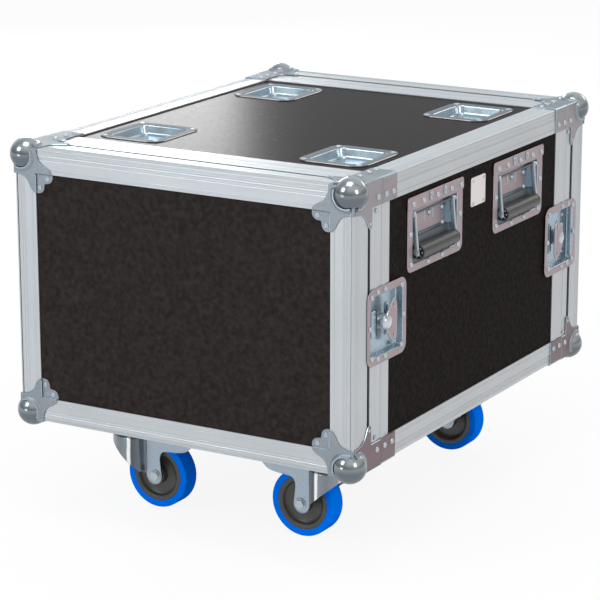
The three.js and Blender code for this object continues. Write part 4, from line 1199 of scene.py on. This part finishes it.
# Assembly
# The latches' fourth finish, the dark recess colour, is painted shade in their slots
LATCH_ZINC = [ZINC_ROSE, BLUE_ZINC_AND_PAINTED_HIGHLIGHT, ZINC_RIVET, SHADOW_GAP]
for end in SIGN_Y:
    lid, lid_body = LID[end], f"{end}_lid"
    lid_leg = (lid - GROOVE - RIM_INNER_LEG, lid)
    body_leg = (lid + LID_GAP, lid + LID_GAP + RIM_INNER_LEG)
    for node, (section, dark), body, leg in (
            ("lid_edging", edging_section(), lid_body, None),
            ("lid_rim", (lid_rim_section(lid), ()), lid_body, lid_leg),
            ("body_rim", (body_rim_section(lid), ()), "case", body_leg)):
        shape, uv = ring_extrusion(section, end, leg, dark)
        put(f"{end}_{node}_extrusion", shape, [ALUMINIUM, SHADOW_GAP], body, [f"{end}_{node}"],
            "extrusion", EXTRUSION_CREASE, uv)
    for side in SIGN_X:
        here = f"{end}_{side}_"
        shell, uv, bolt = castor_fork(end, side)
        tyre, centre = castor_wheel(end, side)
        # Name, shape, finishes, body, the node it stands for, slot, and what else put takes
        for name, shape, finishes, body, node, slot, *more in (
                ("latch_keeper", latch_dish(end, side, False), LATCH_ZINC, lid_body, None,
                 "extrusion"),
                ("latch_cup", latch_dish(end, side, True), LATCH_ZINC, "case", "latch_dish",
                 "pressed_steel"),
                ("latch_wing", butterfly(end, side), [ZINC_ROSE, ZINC_BARREL],
                 here + "butterfly", "latch_butterfly", "latch_steel"),
                ("handle_pan", handle_dish(end, side),
                 [ZINC_ROSE, BLUE_ZINC_AND_PAINTED_HIGHLIGHT, ZINC_RIVET, ZINC_TEAL, SLATE_ZINC_AND_PAINTED_SHADE], "case",
                 "handle_dish", "pressed_steel"),
                ("handle_grip", handle_bail(end, side),
                 [GRIP, ZINC_BRIGHT, CAP_BLACK, ZINC_RIVET, SLATE_ZINC_AND_PAINTED_SHADE], here + "handle",
                 "handle_bail", "grip"),
                ("stacking_dish", castor_dish(end, side),
                 [ZINC_FLANGE, ZINC_DISH, ZINC_RIVET, ZINC_EDGE_PAINTED_HIGHLIGHT], "case", "castor_dish",
                 "pressed_steel"),
                ("castor_top_plate", castor_plate(end, side), [CASTOR_ZINC, ZINC_RIVET], "case",
                 "castor_plate", "castor_steel"),
                ("castor_fork_shell", shell, [FORK_ZINC_PAINTED_STREAKS], here + "castor", "castor_fork",
                 "castor_steel", FORK_CREASE, uv, FORK_SHEET),
                ("castor_axle_bolt", bolt, [ZINC_RIVET], here + "castor", None, "castor_steel"),
                ("castor_tyre", tyre, [TYRE], here + "wheel", "castor_wheel", "wheel"),
                ("castor_wheel_centre", centre, [HUB], here + "wheel", None, "wheel"),
                ("rail_strip", rack_rail(end, side), [RAIL_BLACK], "case", "rack_rail", "rail")):
            put(here + name, shape, finishes, body, [here + node] if node else (), slot, *more)
        # The bottom corners' side plates and braces take the darker copy, painted shade
        for level, outward in (("bottom", ZINC_LOW_PAINTED_SHADE), ("top", ZINC_SIDE)):
            corner = f"{end}_{level}_{side}_"
            put(corner + "corner_plates", ball_corner(end, side, level),
                [ZINC_FRONT, outward, ZINC_RIVET, BALL, BLUE_ZINC_AND_PAINTED_HIGHLIGHT, SLATE_ZINC_AND_PAINTED_SHADE, ZINC_TOP], lid_body,
                [corner + "ball_corner"], "corner_steel")
            put(corner + "brace_plate", brace(end, side, level),
                [ZINC_TOP, outward, ZINC_RIVET, BLUE_ZINC_AND_PAINTED_HIGHLIGHT], "case", (), "extrusion")

for level in LEVELS:
    for side in SIGN_X:
        shape, uv = long_edge(side, level)
        put(f"{level}_{side}_edge_extrusion", shape, [ALUMINIUM, SAWN_EDGE], "case",
            [f"{level}_{side}_edge"], "extrusion", EXTRUSION_CREASE, uv)

for node, material in (("top_panel", TOP_PLY_PAINTED_SHADE), ("left_panel", SIDE_PLY_PAINTED_SHADE),
                       ("right_panel", SIDE_PLY_PAINTED_SHADE), ("bottom_panel", BOARD_PLY),
                       ("front_lid_shell", BLACK_PLY), ("rear_lid_shell", BLACK_PLY)):
    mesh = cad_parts[node].data
    mesh.materials.clear()
    mesh.materials.append(material)

# Screws of the rack rails and the bare number plate, on the side panels
for side in SIGN_X:
    screws = [dome(2.4, 0.9).moved(a, BASE + h, -PANEL_FACE).mapped(at_side(end, side))
              for end, a in (("front", 114.7), ("rear", 112.5)) for h in (267.7, 130.1)]
    put(f"{side}_rail_screws", together(screws), [SHADOW_GAP], "case", (), "rail")
    low, from_front, up = -PANEL_FACE - 0.05, 362.5, 321.8
    badge = [plate(rounded_loop(22.4, 20.8, 3.4, 6), low, low + 0.9, 0.3)]
    badge += heads([(u, v) for u in (-16.6, 16.6) for v in (-16.4, 16.4)], low + 0.9, 2.6, 1.4,
                   finish=1)
    badge = together(badge).mapped(lambda u, v, w: (
        SIGN_X[side] * (HALF_WIDTH + w), u - HALF_DEPTH + from_front, v + BASE + up))
    put(f"{side}_number_plate", badge, [PLATE_PAINT, ZINC_RIVET], "case", (), "pressed_steel")


# Floor and light
def floor_finish():
    """Pale floor: white to the camera and in reflections, with the object's soft shadow."""
    f = Finish("studio_floor", Roughness=0.9, Base_Color=(0.86, 0.86, 0.86),
               Specular_IOR_Level=0.0)
    rays = {out.socket.name: out for out in f.node("ShaderNodeLightPath")}
    glow = f.node("ShaderNodeEmission", None, {"Color": (1.0, 1.0, 1.0), "Strength": 1.0})[0]
    share = f.range(rays["Is Camera Ray"] + rays["Is Glossy Ray"] + rays["Is Transmission Ray"],
                    0.0, 1.0, 0.0, 0.9)
    lit = Socket(f, f.shader.outputs[0])
    mixed = f.node("ShaderNodeMixShader", None, {0: share, 1: lit, 2: glow})[0]
    f.join(f.tree.nodes["Material Output"].inputs[0], mixed)
    return f.material


def lamp(name, place, aim, size, power, colour=(1.0, 1.0, 1.0)):
    """A rectangular lamp at a place, turned to face its aim."""
    light = bpy.data.lights.new(name, "AREA")
    light.shape = "RECTANGLE"
    light.size, light.size_y = size
    light.energy = power
    light.color = colour
    holder = bpy.data.objects.new(name, light)
    holder.location = place
    holder.rotation_euler = (Vector(aim) - Vector(place)).to_track_quat("-Z", "Y").to_euler()
    bpy.context.scene.collection.objects.link(holder)


floor_mesh = bpy.data.meshes.new("floor")
reach, under = 40.0, -0.0005
floor_mesh.from_pydata([(-reach, -reach, under), (reach, -reach, under),
                        (reach, reach, under), (-reach, reach, under)], [], [(0, 1, 2, 3)])
floor_mesh.materials.append(floor_finish())
floor = bpy.data.objects.new("floor", floor_mesh)
bpy.context.scene.collection.objects.link(floor)

world = bpy.data.worlds.new("studio")
bpy.context.scene.world = world
world.use_nodes = True
room = Tree(world.node_tree)
# A pale room: whiter overhead and behind on the left, cooler to the left and warmer to the
# right, with soft lighter and darker sides
direction = room.node("ShaderNodeTexCoord")[0]
east, north, height = room.node("ShaderNodeSeparateXYZ", None, {"Vector": direction})
stretched = room.node("ShaderNodeMapping", None, {
    "Vector": direction, "Scale": (1.0, 1.0, 0.4)})[0]
sides = room.range(room.noise(1.5, 1.0, 0.4, stretched), 0.38, 0.62)
behind = room.range(north * 0.86 - east * 0.5, 0.4, 0.95, 1.0, 1.65)
light = room.range(height, -0.1, 0.8, 0.42, 0.9) * (sides * 0.5 + 0.7) * behind
backdrop = world.node_tree.nodes["Background"]
tint = room.blend(room.range(east, -0.4, 0.5), (0.92, 0.975, 1.0), (1.0, 0.955, 0.92))
seen = room.node("ShaderNodeLightPath")[0]
room.join(backdrop.inputs[0], room.blend(seen, room.blend(light, (0.0, 0.0, 0.0), tint),
                                         (1.0, 1.0, 1.0)))
room.join(backdrop.inputs[1], 1.0)

lamp("key_left_front", (-1.6, -3.0, 2.4), (0, 0, 0.3), (1.3, 1.3), 32.0, (0.91, 0.965, 1.0))
lamp("fill_right", (3.2, -1.4, 1.8), (0, 0, 0.3), (0.8, 1.2), 20.0, (1.0, 0.96, 0.93))
lamp("overhead", (0.1, -0.8, 3.4), (0, 0, 0.5), (1.5, 1.5), 30.0)
lamp("window_behind", (-2.74, 3.11, 1.3), (-0.1, 0, 0.5), (1.2, 0.6), 31.0)
lamp("rim_behind", (0.9, 3.6, 2.0), (0, 0, 0.5), (1.6, 0.8), 8.0)
lamp("low_front", (-1.2, -2.8, 0.25), (0, -0.2, 0.08), (0.8, 0.3), 4.0, (0.91, 0.965, 1.0))

# The camera of the photograph: bearing, rise and roll, then its place as shares of the
# case's width
bearing, rise, roll = math.radians(30.328), math.radians(15.095), math.radians(-0.077)
width = 2 * HALF_WIDTH * MM
right = Vector((math.cos(bearing), math.sin(bearing), 0))
back = Vector((math.sin(bearing) * math.cos(rise), -math.cos(bearing) * math.cos(rise),
               math.sin(rise)))
up = back.cross(right)
shift, lift, distance = -0.0324, 0.2256, 7.0983
place = (right * shift + up * lift + back * distance) * width + Vector((0, 0, BASE * MM))
across = right * math.cos(roll) + up * math.sin(roll)
upward = up * math.cos(roll) - right * math.sin(roll)
camera_data = bpy.data.cameras.new("camera")
# The focal length in picture widths
focal = 2568.9 / 600.0
camera_data.sensor_width = 36.0
camera_data.lens = focal * camera_data.sensor_width
camera_data.clip_end = 200.0
camera = bpy.data.objects.new("camera", camera_data)
bpy.context.scene.collection.objects.link(camera)
camera.matrix_world = Matrix(((across.x, upward.x, back.x, place.x),
                              (across.y, upward.y, back.y, place.y),
                              (across.z, upward.z, back.z, place.z),
                              (0, 0, 0, 1)))
bpy.context.scene.camera = camera
bpy.context.scene.view_settings.view_transform = "Standard"
